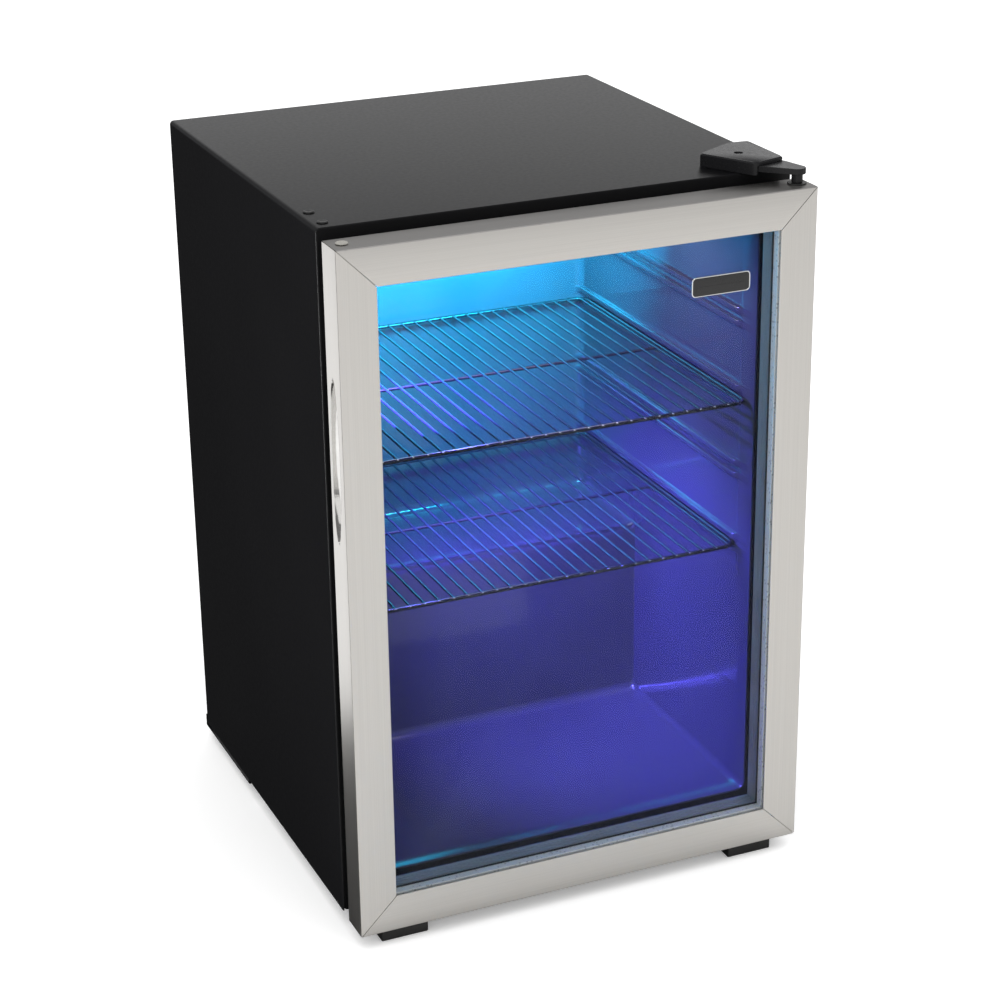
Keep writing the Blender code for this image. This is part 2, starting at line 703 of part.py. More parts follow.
def make_housing_contents():
    block("thermostat", (-0.014, 0.0212, 0.6025), (0.014, 0.0460, 0.6235), "zinc_steel", corner=0.002)
    block("led_lens", (LENS_X - 0.018, LENS_Y - 0.011, 0.5982),
        (LENS_X + 0.018, LENS_Y + 0.011, 0.6020), "glass")
    block("led_board", (LENS_X - 0.017, LENS_Y - 0.010, 0.6030),
        (LENS_X + 0.017, LENS_Y + 0.010, 0.6046), "circuit_board")


def make_thermostat_knob():
    axis = joint_axis("knob_axis", (0.0, HOUSING_FRONT, KNOB_Z))
    front = HOUSING_FRONT - 0.013
    rear = HOUSING_FRONT - 0.0005
    profile = [
        (0.0075, front), (0.0085, front + 0.001), (0.0095, rear - 0.003),
        (0.011, rear - 0.002), (0.011, rear),
        (0.003, rear), (0.003, HOUSING_FRONT + PLASTIC + 0.001),
    ]
    knob = turned("thermostat_knob", profile, (0.0, KNOB_Z), "y", "pale_plastic", axis, steps=24)
    cut_box(knob, (-0.0008, front - 0.002, KNOB_Z + 0.002), (0.0008, front + 0.0008, KNOB_Z + 0.012))


def make_light_switch():
    """Rocker with a shallow valley in its face, tilted to one side about its cross pin."""
    axis = joint_axis("switch_axis", (SWITCH_X, SWITCH_Y, KNOB_Z))
    half_x, half_y, half_z = SWITCH_HALF
    profile = [(-half_y, -half_z), (half_y, -half_z), (half_y, half_z), (-half_y, half_z),
        (0.0008 - half_y, 0.0)]
    turn = math.radians(SWITCH_TILT)
    tilted = []
    for u, v in profile:
        y = u * math.cos(turn) - v * math.sin(turn)
        z = u * math.sin(turn) + v * math.cos(turn)
        tilted.append((SWITCH_Y + y, KNOB_Z + z))
    prism("light_switch", tilted, "yz", SWITCH_X - half_x, SWITCH_X + half_x, "black_plastic", axis)


# ---------------------------------------------------------------- shelves

def make_shelf(name, level, front):
    """A flat grille: a border of rod with wires running from front to back, in one piece."""
    axis = joint_axis(f"{name}_axis", (0.0, front, level))
    span = (SHELF_WIRES - 1) * SHELF_PITCH / 2
    columns = [-SHELF_HALF, SHELF_ROD - SHELF_HALF]
    for wire in range(SHELF_WIRES):
        centre = wire * SHELF_PITCH - span
        if abs(centre) < SHELF_HALF - SHELF_ROD - SHELF_WIRE:
            columns += [centre - SHELF_WIRE / 2, centre + SHELF_WIRE / 2]
    columns += [SHELF_HALF - SHELF_ROD, SHELF_HALF]
    rows = [front, front + SHELF_ROD, SHELF_BACK - SHELF_ROD, SHELF_BACK]
    filled = {
        (i, j) for i in range(len(columns) - 1) for j in range(3)
        if j != 1 or i % 2 == 0
    }
    bm = bmesh.new()
    corners = {
        (i, j, k): bm.verts.new((x, y, z))
        for i, x in enumerate(columns) for j, y in enumerate(rows) for k, z in enumerate((level,
            level + SHELF_ROD))
    }
    for i, j in filled:
        for k in (0, 1):
            bm.faces.new([corners[i + a, j + b, k] for a, b in ((0, 0), (1, 0), (1, 1), (0, 1))])
        sides = {(i - 1, j): ((0, 0), (0, 1)), (i + 1, j): ((1, 0), (1, 1)),
                 (i, j - 1): ((0, 0), (1, 0)), (i, j + 1): ((0, 1), (1, 1))}
        for neighbour, ((a, b), (c, d)) in sides.items():
            if neighbour not in filled:
                bm.faces.new([corners[i + a, j + b, 0], corners[i + c, j + d, 0],
                              corners[i + c, j + d, 1], corners[i + a, j + b, 1]])
    add_object(name, bm, "black_wire", axis)


# ---------------------------------------------------------------- door

DOOR_HALF = DOOR_WIDTH / 2


def door_loop(inset_distance, y):
    """A rectangle set in from the door's outer edge."""
    outline = rectangle(
        inset_distance - DOOR_HALF, DOOR_HALF - inset_distance, DOOR_BOTTOM + inset_distance, DOOR_TOP - inset_distance,
    )
    return lift(outline, "xz", y)


def skin_section():
    """Outline of a folded frame member as (distance in from the edge, depth)."""
    bend = 0.0015
    angles = (math.pi / 2, math.pi / 4, 0)
    outer = [(bend - bend * math.sin(a), DOOR_FRONT + bend - bend * math.cos(a)) for a in angles]
    back, behind = DOOR_BACK, DOOR_FRONT + STEEL
    return [(0.0, back)] + outer + [(FRAME_FACE, DOOR_FRONT), (FRAME_FACE, behind), (STEEL, behind),
        (STEEL, back)]


def make_door_skins(axis):
    """Four mitred members; each end is cut at 45 degrees with a hairline gap."""
    mitre = 0.00012
    members = {}
    for side in ("top", "bottom", "left", "right"):
        upright = side in ("left", "right")
        near, far = (DOOR_BOTTOM, DOOR_TOP) if upright else (-DOOR_HALF, DOOR_HALF)
        ends = []
        for start, direction in ((near, 1), (far, -1)):
            loop = []
            for depth_in, y in skin_section():
                along = start + direction * (depth_in + mitre)
                if upright:
                    sign = -1 if side == "left" else 1
                    loop.append(Vector((sign * (DOOR_HALF - depth_in), y, along)))
                else:
                    edge = DOOR_TOP - depth_in if side == "top" else DOOR_BOTTOM + depth_in
                    loop.append(Vector((along, y, edge)))
            ends.append(loop)
        members[side] = loft(f"door_skin_{side}", ends, "stainless", axis)
    return members


def make_inner_frame(axis):
    outer = STEEL + GAP
    rebate = FRAME_FACE - GLASS_OVERLAP - GAP
    lip = GLASS_FRONT + 2 * GLASS + SPACER_DEPTH + 3 * GAP
    loops = [
        door_loop(outer, GLASS_FRONT), door_loop(outer, DOOR_BACK), door_loop(FRAME_FACE, DOOR_BACK),
        door_loop(FRAME_FACE, lip), door_loop(rebate, lip), door_loop(rebate, GLASS_FRONT),
    ]
    return loft("door_inner_frame", loops, "grey_plastic", axis, closed=True)


def make_glazing(axis):
    edge = FRAME_FACE - GLASS_OVERLAP
    start = GLASS_FRONT
    for name in ("glass_outer", "glass_inner"):
        loft(name, [door_loop(edge, start), door_loop(edge, start + GLASS)], "glass", axis)
        start += GLASS + SPACER_DEPTH + 2 * GAP
    front = GLASS_FRONT + GLASS + GAP
    back = front + SPACER_DEPTH
    inner = FRAME_FACE + GAP
    loops = [door_loop(edge + GAP, front), door_loop(edge + GAP, back), door_loop(inner, back),
        door_loop(inner, front)]
    loft("glass_spacer", loops, "aluminium", axis, closed=True)


def make_gasket(axis):
    """Magnetic seal with a pinched bellows on both sides."""
    near, far = 0.0085, 0.0260
    pinch = 0.0025
    base, face = DOOR_BACK + GAP, -0.0005
    section = [
        (near, base), (far, base), (far, base + 0.003), (far - pinch, base + 0.007), (far, face - 0.004),
        (far, face), (near, face), (near, face - 0.004), (near + pinch, base + 0.007), (near, base + 0.003),
    ]
    loft("door_gasket", [door_loop(u, y) for u, y in section], "rubber", axis, closed=True)


def handle_cutter():
    outline = oval((HANDLE_Y, HANDLE_Z), HANDLE_HALF_WIDTH + GAP, HANDLE_HALF_LENGTH + GAP)
    return prism("cutter", outline, "yz", -DOOR_HALF - 0.002, HANDLE_DEPTH + GAP - DOOR_HALF, "chrome")


def make_handle_cup(axis):
    """Smooth finger scoop set into the left edge of the door."""
    wall = 0.0012

    def level(depth, shrink):
        outline = oval((HANDLE_Y, HANDLE_Z), HANDLE_HALF_WIDTH - shrink, HANDLE_HALF_LENGTH - shrink)
        return lift(outline, "yz", depth - DOOR_HALF)

    loops = [
        level(HANDLE_DEPTH, 0.004), level(HANDLE_DEPTH - 0.006, 0.0008), level(0.0, 0.0),
        level(0.0, wall), level(0.008, wall + 0.0008), level(HANDLE_DEPTH - 0.004, wall + 0.003),
        level(HANDLE_DEPTH - wall, wall + 0.0055),
    ]
    loft("handle_cup", loops, "chrome", axis)


def make_bushings(axis):
    bore = HINGE_PIN_RADIUS + 0.0004
    ends = {
        "hinge_bushing_top": [(BUSHING_RADIUS, DOOR_TOP - BUSHING_DEPTH), (BUSHING_RADIUS, DOOR_TOP + GAP),
                              (0.0085, DOOR_TOP + GAP), (0.0085, DOOR_TOP + 0.0012),
                              (bore, DOOR_TOP + 0.0012),
                              (bore, DOOR_TOP - BUSHING_DEPTH)],
        "hinge_bushing_bottom": [(BUSHING_RADIUS, DOOR_BOTTOM),
            (BUSHING_RADIUS, DOOR_BOTTOM + BUSHING_DEPTH),
                                 (bore, DOOR_BOTTOM + BUSHING_DEPTH), (bore, DOOR_BOTTOM)],
    }
    for name, profile in ends.items():
        turned(name, profile, (HINGE_X, HINGE_Y), "z", "black_plastic", axis, ring=True)


def make_hole_plug(axis):
    base = DOOR_TOP + GAP
    profile = [
        (PLUG_RADIUS, DOOR_TOP - PLUG_DEPTH), (PLUG_RADIUS, base), (0.0055, base), (0.0054, base + 0.0008),
        (0.0042, base + 0.0014),
    ]
    turned("hinge_hole_plug", profile, (-HINGE_X, HINGE_Y), "z", "pale_plastic", axis)


def make_badge(axis):
    outline = rounded_rectangle(0.101, 0.158, 0.5705, 0.5885, 0.003)
    small = rounded_rectangle(0.1015, 0.1575, 0.5710, 0.5880, 0.003)
    loops = [lift(outline, "xz", GLASS_FRONT - GAP), lift(outline, "xz", GLASS_FRONT - 0.0008),
             lift(small, "xz", GLASS_FRONT - 0.0011)]
    loft("badge", loops, "black_plastic", axis)


def make_door():
    axis = joint_axis("door_axis", (HINGE_X, HINGE_Y, DOOR_BOTTOM))
    skins = make_door_skins(axis)
    frame = make_inner_frame(axis)
    make_glazing(axis)
    make_gasket(axis)
    bore = BUSHING_RADIUS + GAP
    reach = BUSHING_DEPTH + GAP
    above, below = DOOR_TOP + 0.01, DOOR_BOTTOM - 0.005
    for z0, z1, skin in ((DOOR_TOP - reach, above, "top"), (below, DOOR_BOTTOM + reach, "bottom")):
        for target in (skins[skin], frame):
            drill(target, (HINGE_X, HINGE_Y), bore, z0, z1)
    for target in (skins["top"], frame):
        drill(target, (-HINGE_X, HINGE_Y), PLUG_RADIUS + GAP, DOOR_TOP - PLUG_DEPTH - GAP, above)
    for target in (skins["left"], frame):
        carve(target, handle_cutter())
    make_handle_cup(axis)
    make_bushings(axis)
    make_hole_plug(axis)
    make_badge(axis)


# ---------------------------------------------------------------- assembly

def clear_scene():
    for item in list(bpy.data.objects):
        bpy.data.objects.remove(item)


def build():
    clear_scene()
    make_outer_wrapper()
    make_bottom_panel()
    make_back_panel()
    make_front_frame()
    make_inner_liner()
    make_insulation_foam()
    make_evaporator()
    make_condenser()
    make_tray()
    make_compressor_group()
    make_drain_pan()
    make_bay_tubes()
    make_power_inlet()
    make_rear_supports()
    make_front_feet()
    make_bottom_hinge()
    make_top_hinge()
    make_top_hinge_cover()
    make_top_plugs()
    make_control_housing()
    make_housing_contents()
    make_thermostat_knob()
    make_light_switch()
    make_shelf("upper_shelf", **UPPER_SHELF)
    make_shelf("lower_shelf", **LOWER_SHELF)
    make_door()


build()
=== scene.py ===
"""Looks for the glass-door fridge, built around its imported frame."""

import json
import math

import bmesh
import bpy
from mathutils import Matrix, Vector

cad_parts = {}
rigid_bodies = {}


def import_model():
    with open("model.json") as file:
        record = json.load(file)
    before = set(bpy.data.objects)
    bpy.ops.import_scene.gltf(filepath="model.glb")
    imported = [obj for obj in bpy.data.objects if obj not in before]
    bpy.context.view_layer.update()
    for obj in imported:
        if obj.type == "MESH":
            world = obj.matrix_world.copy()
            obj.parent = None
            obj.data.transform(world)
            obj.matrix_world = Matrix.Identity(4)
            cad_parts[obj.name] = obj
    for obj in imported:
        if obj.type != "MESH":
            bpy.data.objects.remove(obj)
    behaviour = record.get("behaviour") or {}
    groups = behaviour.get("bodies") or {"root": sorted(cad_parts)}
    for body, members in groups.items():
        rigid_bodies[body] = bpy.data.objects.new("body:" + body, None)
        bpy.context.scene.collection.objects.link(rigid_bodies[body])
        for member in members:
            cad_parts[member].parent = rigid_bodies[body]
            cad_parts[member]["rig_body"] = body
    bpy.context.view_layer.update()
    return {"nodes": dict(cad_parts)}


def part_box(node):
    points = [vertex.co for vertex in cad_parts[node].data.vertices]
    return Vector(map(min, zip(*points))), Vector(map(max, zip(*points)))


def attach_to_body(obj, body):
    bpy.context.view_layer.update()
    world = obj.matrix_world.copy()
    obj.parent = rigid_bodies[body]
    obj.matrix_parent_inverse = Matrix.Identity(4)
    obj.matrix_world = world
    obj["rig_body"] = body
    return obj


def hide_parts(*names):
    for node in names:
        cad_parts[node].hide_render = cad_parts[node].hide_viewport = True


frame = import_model()

# ---------------------------------------------------------------- places read from the frame

CAB_LOW, CAB_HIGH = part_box("outer_wrapper")
FACE = CAB_LOW.y                       # the cabinet's front plane
DOOR_LOW = Vector(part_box("door_skin_left")[0])
DOOR_HIGH = Vector(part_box("door_skin_right")[1])
DOOR_LOW.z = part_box("door_skin_bottom")[0].z
DOOR_HIGH.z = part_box("door_skin_top")[1].z
FRAME_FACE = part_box("door_skin_left")[1].x - DOOR_LOW.x
GLASS_LOW, GLASS_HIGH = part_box("glass_outer")
PIN_LOW, PIN_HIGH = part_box("top_hinge_pin")
HINGE = (PIN_LOW + PIN_HIGH) / 2
LINER_LOW, LINER_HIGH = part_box("inner_liner")
MM = 0.001
LINER_WALL = 1.5 * MM
WIRE_PITCH = 14 * MM                   # distance between the shelf wires
BUSHING_HOLE = 6.8 * MM                # radii of the holes for the hinge bushings
PLUG_HOLE = 3.7 * MM                   # and for the spare hole's plug
GRIP_DEPTH = 16.8 * MM                 # how far the grip's hollow reaches into the door
WELD = 1e-6                            # points closer than this become one


# ---------------------------------------------------------------- outlines

def arc(centre, radius, start, stop, steps):
    """Points on an arc, both ends included, angles in degrees."""
    angles = [math.radians(start + (stop - start) * i / steps) for i in range(steps + 1)]
    return [(centre[0] + radius * math.cos(a), centre[1] + radius * math.sin(a)) for a in angles]


def rounded_rectangle(u0, u1, v0, v1, radius, steps=6):
    return (
        arc((u1 - radius, v0 + radius), radius, -90, 0, steps)
        + arc((u1 - radius, v1 - radius), radius, 0, 90, steps)
        + arc((u0 + radius, v1 - radius), radius, 90, 180, steps)
        + arc((u0 + radius, v0 + radius), radius, 180, 270, steps)
    )


def circle(centre, radius, steps):
    return arc(centre, radius, 0, 360, steps)[:-1]


def lift(outline, plane, level):
    """Place a flat outline in the xy, xz or yz plane at a level along the third axis."""
    if plane == "xy":
        return [Vector((u, v, level)) for u, v in outline]
    if plane == "xz":
        return [Vector((u, level, v)) for u, v in outline]
    return [Vector((level, u, v)) for u, v in outline]


# ---------------------------------------------------------------- meshes

def skin_loops(bm, loops, closed=False):
    rows = [[bm.verts.new(point) for point in loop] for loop in loops]
    pairs = list(zip(rows, rows[1:]))
    if closed:
        pairs.append((rows[-1], rows[0]))
    for first, second in pairs:
        count = len(first)
        for i in range(count):
            j = (i + 1) % count
            bm.faces.new((first[i], first[j], second[j], second[i]))
    if not closed:
        bm.faces.new(rows[0])
        bm.faces.new(rows[-1])


def sweep_loops(path, radius, sides, cyclic=False):
    """Rings of points along a path, for a round bar."""
    points = [Vector(p) for p in path]
    count = len(points)
    loops = []
    side = None
    for i, point in enumerate(points):
        ahead = points[(i + 1) % count] if cyclic else points[min(i + 1, count - 1)]
        behind = points[i - 1] if cyclic else points[max(i - 1, 0)]
        tangent = (ahead - behind).normalized()
        if side is None:
            side = tangent.orthogonal().normalized()
        side = (side - tangent * side.dot(tangent)).normalized()
        other = tangent.cross(side)
        angles = [2 * math.pi * k / sides for k in range(sides)]
        loops.append([point + (side * math.cos(a) + other * math.sin(a)) * radius for a in angles])
    return loops


def turned_loops(profile, centre, axis, steps):
    """Rings round a z or y axis, from (radius, place along the axis) pairs."""
    loops = []
    for radius, height in profile:
        outline = circle((centre[0], centre[1]), radius, steps)
        loops.append(lift(outline, "xy" if axis == "z" else "xz", height))
    return loops


def finish_mesh(name, bm, material, sharp=35):
    bmesh.ops.remove_doubles(bm, verts=bm.verts, dist=WELD)
    bmesh.ops.recalc_face_normals(bm, faces=bm.faces)
    mesh = bpy.data.meshes.new(name)
    bm.to_mesh(mesh)
    bm.free()
    mesh.shade_smooth()
    mesh.set_sharp_from_angle(angle=math.radians(sharp))
    made = bpy.data.objects.new(name, mesh)
    bpy.context.scene.collection.objects.link(made)
    mesh.materials.append(material)
    return made


def soften(piece, width, segments=3):
    """Round a piece's hard edges."""
    bevel = piece.modifiers.new("soft_edges", "BEVEL")
    bevel.width = width
    bevel.segments = segments
    bevel.limit_method = "ANGLE"
    bevel.angle_limit = math.radians(40)
    bevel.harden_normals = True


def settle(piece, node):
    """The piece rides where its CAD node rides and stands for it."""
    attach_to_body(piece, frame["nodes"][node]["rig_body"])
    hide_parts(node)


def attach(piece, body):
    """A piece that has no CAD node of its own."""
    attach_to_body(piece, body)


def loft(name, loops, material, closed=False, sharp=35):
    bm = bmesh.new()
    skin_loops(bm, loops, closed)
    return finish_mesh(name, bm, material, sharp)


def gather(name, groups, material, sharp=35):
    """One piece from several lofted solids, each given as (loops, closed)."""
    bm = bmesh.new()
    for loops, closed in groups:
        skin_loops(bm, loops, closed)
    return finish_mesh(name, bm, material, sharp)


def round_node(node):
    """Axis, radius and box of an upright round CAD node."""
    low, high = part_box(node)
    return ((low.x + high.x) / 2, (low.y + high.y) / 2), (high.x - low.x) / 2, low, high


def refined(node, material, width, segments=3):
    """The CAD solid's own shape with its edges rounded."""
    bm = bmesh.new()
    bm.from_mesh(frame["nodes"][node].data)
    bmesh.ops.remove_doubles(bm, verts=bm.verts, dist=WELD)
    bmesh.ops.dissolve_limit(bm, angle_limit=math.radians(0.5), verts=bm.verts, edges=bm.edges)
    piece = finish_mesh(f"{node}_surface", bm, material)
    if width:
        soften(piece, width, segments)
    settle(piece, node)


# ---------------------------------------------------------------- materials

FACTOR, FIRST, SECOND, MIXED = 0, 6, 7, 2      # the Mix node's sockets for colours


def mix_colours(tree, factor, first, second, blend="MIX"):
    """Mixes two colours, each a plain one or another node's output."""
    made = tree.nodes.new("ShaderNodeMix")
    made.data_type = "RGBA"
    made.blend_type = blend
    for socket, source in ((FACTOR, factor), (FIRST, first), (SECOND, second)):
        if hasattr(source, "is_output"):
            tree.links.new(source, made.inputs[socket])
        elif socket == FACTOR:
            made.inputs[socket].default_value = source
        else:
            made.inputs[socket].default_value = (*source, 1.0)
    return made.outputs[MIXED]


class Recipe:
    """A Principled material whose colour, roughness and relief come from textures in object space."""

    def __init__(self, name, metallic=0.0):
        self.material = bpy.data.materials.new(name)
        self.material.use_nodes = True
        self.tree = self.material.node_tree
        self.shader = self.tree.nodes["Principled BSDF"]
        self.shader.inputs["Metallic"].default_value = metallic
        self.place = self.tree.nodes.new("ShaderNodeTexCoord").outputs["Object"]

    def set(self, **values):
        for name, value in values.items():
            self.shader.inputs[name.replace("_", " ").title().replace("Ior", "IOR")].default_value = value

    def node(self, kind, links=(), **settings):
        made = self.tree.nodes.new(kind)
        for name, value in settings.items():
            setattr(made, name, value)
        for socket, source in links:
            if hasattr(source, "is_output"):
                self.tree.links.new(source, made.inputs[socket])
            else:
                made.inputs[socket].default_value = source
        return made

    def stretched(self, scale):
        mapping = self.node("ShaderNodeMapping", [("Vector", self.place), ("Scale", scale)])
        return mapping.outputs["Vector"]

    def noise(self, scale, detail=4.0, roughness=0.55, stretch=(1.0, 1.0, 1.0)):
        links = [("Vector", self.stretched(stretch)), ("Scale", scale)]
        links += [("Detail", detail), ("Roughness", roughness)]
        return self.node("ShaderNodeTexNoise", links).outputs["Fac"]

    def cells(self, scale):
        links = [("Vector", self.place), ("Scale", scale)]
        return self.node("ShaderNodeTexVoronoi", links).outputs["Distance"]

    def ramp(self, source, low, high, start=0.3, stop=0.7):
        made = self.node("ShaderNodeValToRGB", [("Fac", source)])
        made.color_ramp.elements[0].position = start
        made.color_ramp.elements[1].position = stop
        made.color_ramp.elements[0].color = (*low, 1.0)
        made.color_ramp.elements[1].color = (*high, 1.0)
        return made.outputs["Color"]

    def span(self, source, low, high, start=0.3, stop=0.7):
        links = [("Value", source), ("From Min", start), ("From Max", stop)]
        links += [("To Min", low), ("To Max", high)]
        return self.node("ShaderNodeMapRange", links).outputs["Result"]

    def mix(self, factor, first, second, blend="MIX"):
        return mix_colours(self.tree, factor, first, second, blend)

    def colour(self, source):
        self.tree.links.new(source, self.shader.inputs["Base Color"])

    def rough(self, source):
        self.tree.links.new(source, self.shader.inputs["Roughness"])

    def relief(self, source, strength, distance=0.001):
        """Adds relief on top of any relief that is already there."""
        links = [("Height", source), ("Strength", strength), ("Distance", distance)]
        target = self.shader.inputs["Normal"]
        if target.is_linked:
            links.append(("Normal", target.links[0].from_socket))
        bump = self.node("ShaderNodeBump", links)
        self.tree.links.new(bump.outputs["Normal"], target)


def brushed_steel(name, grain):
    """Stainless sheet with fine scratches along one axis."""
    along, across = 6.0, 2600.0
    stretch = tuple(along if axis == grain else across for axis in "xyz")
    recipe = Recipe(name, 1.0)
    fine = recipe.noise(1.0, 3.0, 0.6, stretch)
    long_lines = recipe.noise(1.0, 2.0, 0.5, tuple(3.0 if axis == grain else 900.0 for axis in "xyz"))
    tone = recipe.ramp(fine, (0.610, 0.595, 0.572), (0.680, 0.664, 0.640), 0.25, 0.75)
    shade = recipe.ramp(long_lines, (0.97, 0.97, 0.97), (1.0, 1.0, 1.0), 0.3, 0.7)
    recipe.colour(recipe.mix(1.0, tone, shade, "MULTIPLY"))
    recipe.rough(recipe.span(fine, 0.34, 0.42))
    recipe.relief(fine, 0.04, 0.0001)
    recipe.set(anisotropic=0.35)
    return recipe.material


def painted_sheet(name, dark, light, rough, peel=0.06, level=0.5, dust=0.12):
    """Sprayed enamel: slight orange peel, faint dust and broad tonal drift."""
    recipe = Recipe(name)
    drift = recipe.noise(3.0, 3.0)
    peel_noise = recipe.noise(420.0, 2.0)
    specks = recipe.noise(1600.0, 1.0)
    base = recipe.ramp(drift, dark, light)
    speck = recipe.span(specks, 0.0, dust, 0.68, 0.80)
    recipe.colour(recipe.mix(speck, base, tuple(min(1.0, c * 2.2 + 0.01) for c in light)))
    recipe.rough(recipe.span(recipe.noise(260.0, 4.0), rough[0], rough[1]))
    recipe.relief(peel_noise, peel, 0.0006)
    recipe.set(specular_ior_level=level)
    return recipe.material


def moulded_plastic(name, dark, light, rough, grain=0.25):
    """Moulded plastic with a fine spark-eroded grain."""
    recipe = Recipe(name)
    recipe.colour(recipe.ramp(recipe.noise(40.0, 5.0), dark, light))
    recipe.rough(recipe.span(recipe.noise(120.0, 3.0), rough[0], rough[1]))
    recipe.relief(recipe.cells(900.0), grain, 0.0003)
    return recipe.material


def gloss_liner(name):
    """Vacuum-formed sheet: glossy, faintly wavy, with a slight stretch haze."""
    recipe = Recipe(name)
    recipe.colour(recipe.ramp(recipe.noise(6.0, 3.0), (0.040, 0.041, 0.054), (0.050, 0.052, 0.066)))
    recipe.rough(recipe.span(recipe.noise(9.0, 1.0), 0.08, 0.13))
    recipe.relief(recipe.noise(9.0, 0.0), 0.12, 0.004)
    return recipe.material


def rubber_seal(name, dark, light):
    recipe = Recipe(name)
    recipe.colour(recipe.ramp(recipe.noise(60.0, 4.0), dark, light))
    recipe.rough(recipe.span(recipe.noise(200.0, 3.0), 0.45, 0.62))
    recipe.relief(recipe.noise(1500.0, 2.0), 0.15, 0.0003)
    return recipe.material


def bare_metal(name, dark, light, rough, scale=50.0):
    recipe = Recipe(name, 1.0)
    recipe.colour(recipe.ramp(recipe.noise(scale, 5.0), dark, light))
    recipe.rough(recipe.span(recipe.noise(scale * 2.5, 4.0), rough[0], rough[1]))
    recipe.relief(recipe.noise(scale * 12.0, 3.0), 0.08, 0.0003)
    return recipe.material


def spangled_zinc(name):
    """Galvanised sheet with its crystal pattern."""
    recipe = Recipe(name, 0.6)
    crystals = recipe.node("ShaderNodeTexVoronoi", [("Vector", recipe.place), ("Scale", 260.0)])
    tone = recipe.node("ShaderNodeSeparateColor", [("Color", crystals.outputs["Color"])]).outputs["Red"]
    recipe.colour(recipe.ramp(tone, (0.58, 0.59, 0.60), (0.66, 0.67, 0.68), 0.0, 1.0))
    recipe.rough(recipe.span(tone, 0.40, 0.50, 0.0, 1.0))
    recipe.relief(recipe.noise(300.0, 3.0), 0.08, 0.0004)
    return recipe.material


def spacer_metal(name):
    """Bent aluminium spacer with rows of small breathing slots."""
    recipe = Recipe(name, 0.1)
    dots = recipe.span(recipe.cells(260.0), 1.0, 0.0, 0.22, 0.30)
    recipe.colour(recipe.mix(dots, (0.92, 0.91, 0.89), (0.62, 0.61, 0.60)))
    recipe.rough(recipe.span(recipe.noise(150.0), 0.38, 0.50))
    recipe.relief(dots, 0.3, 0.0004)
    return recipe.material


def pane_glass(name, tint, index):
    """Flat glass that lets light straight through and mirrors a little more at a slant."""
    recipe = Recipe(name)
    tree = recipe.tree
    haze = recipe.noise(8.0, 3.0)
    through = recipe.node("ShaderNodeBsdfTransparent")
    tree.links.new(recipe.ramp(haze, tuple(c * 0.985 for c in tint), tint), through.inputs["Color"])
    mirror = recipe.node("ShaderNodeBsdfGlossy", [("Color", (0.9, 0.95, 1.0, 1.0))])
    tree.links.new(recipe.span(haze, 0.015, 0.035), mirror.inputs["Roughness"])
    fresnel = recipe.node("ShaderNodeFresnel", [("IOR", index)])
    mixed = recipe.node("ShaderNodeMixShader", [("Fac", fresnel.outputs[0])])
    tree.links.new(through.outputs[0], mixed.inputs[1])
    tree.links.new(mirror.outputs[0], mixed.inputs[2])
    output = tree.nodes["Material Output"]
    tree.links.new(mixed.outputs[0], output.inputs["Surface"])
    tree.nodes.remove(recipe.shader)
    return recipe.material


def glowing_lens(name):
    recipe = Recipe(name)
    ribs = recipe.noise(400.0, 2.0, 0.5, (1.0, 0.1, 1.0))
    recipe.colour(recipe.ramp(ribs, (0.25, 0.50, 0.95), (0.45, 0.70, 1.0)))
    recipe.rough(recipe.span(ribs, 0.25, 0.40))
    recipe.relief(ribs, 0.3, 0.0005)
    recipe.set(emission_color=(0.10, 0.42, 1.0, 1.0), emission_strength=9.0)
    return recipe.material


STEEL_UPRIGHT = brushed_steel("steel_upright", "z")
STEEL_CROSS = brushed_steel("steel_cross", "x")
BLACK_PAINT = painted_sheet(
    "black_paint", (0.0040, 0.0040, 0.0046), (0.0052, 0.0052, 0.0058), (0.32, 0.38), 0.05, 0.16)
BLACK_GLOSS = painted_sheet(
    "black_gloss", (0.007, 0.007, 0.008), (0.012, 0.012, 0.013), (0.22, 0.32), 0.06, 0.22, 0.0)
BLACK_PLASTIC = moulded_plastic("black_plastic", (0.011, 0.011, 0.011), (0.018, 0.018, 0.018), (0.40, 0.52))
FRAME_PLASTIC = moulded_plastic("frame_plastic", (0.46, 0.44, 0.40), (0.54, 0.52, 0.47), (0.46, 0.56), 0.10)
PALE_PLASTIC = moulded_plastic("pale_plastic", (0.50, 0.48, 0.44), (0.60, 0.58, 0.53), (0.38, 0.50), 0.12)
PLUG_PLASTIC = moulded_plastic("plug_plastic", (0.26, 0.25, 0.23), (0.32, 0.31, 0.28), (0.50, 0.62), 0.12)
LINER = gloss_liner("liner_sheet")
SEAL = rubber_seal("seal_rubber", (0.075, 0.075, 0.072), (0.105, 0.105, 0.100))
BLACK_RUBBER = rubber_seal("black_rubber", (0.012, 0.012, 0.012), (0.022, 0.022, 0.022))
WIRE = painted_sheet("wire_coating", (0.010, 0.010, 0.014), (0.020, 0.020, 0.026), (0.14, 0.24), 0.20)
# the bright bare-metal caps on the shelf wire ends are a painted highlight
TIP_HIGHLIGHT = bare_metal("wire_tip_highlight", (0.55, 0.55, 0.60), (0.80, 0.80, 0.84), (0.18, 0.30), 300.0)
CHROME = bare_metal("polished_chrome", (0.78, 0.775, 0.765), (0.86, 0.855, 0.845), (0.05, 0.11), 30.0)
COPPER = bare_metal("copper_tube", (0.55, 0.24, 0.13), (0.78, 0.38, 0.22), (0.22, 0.40))
ALUMINIUM = bare_metal("aluminium_plate", (0.66, 0.67, 0.69), (0.78, 0.79, 0.81), (0.25, 0.38))
ZINC = spangled_zinc("galvanised_sheet")
SPACER = spacer_metal("spacer_bar")
GLASS = pane_glass("pane_glass", (0.965, 0.980, 0.985), 1.12)
LENS = glowing_lens("lamp_lens")
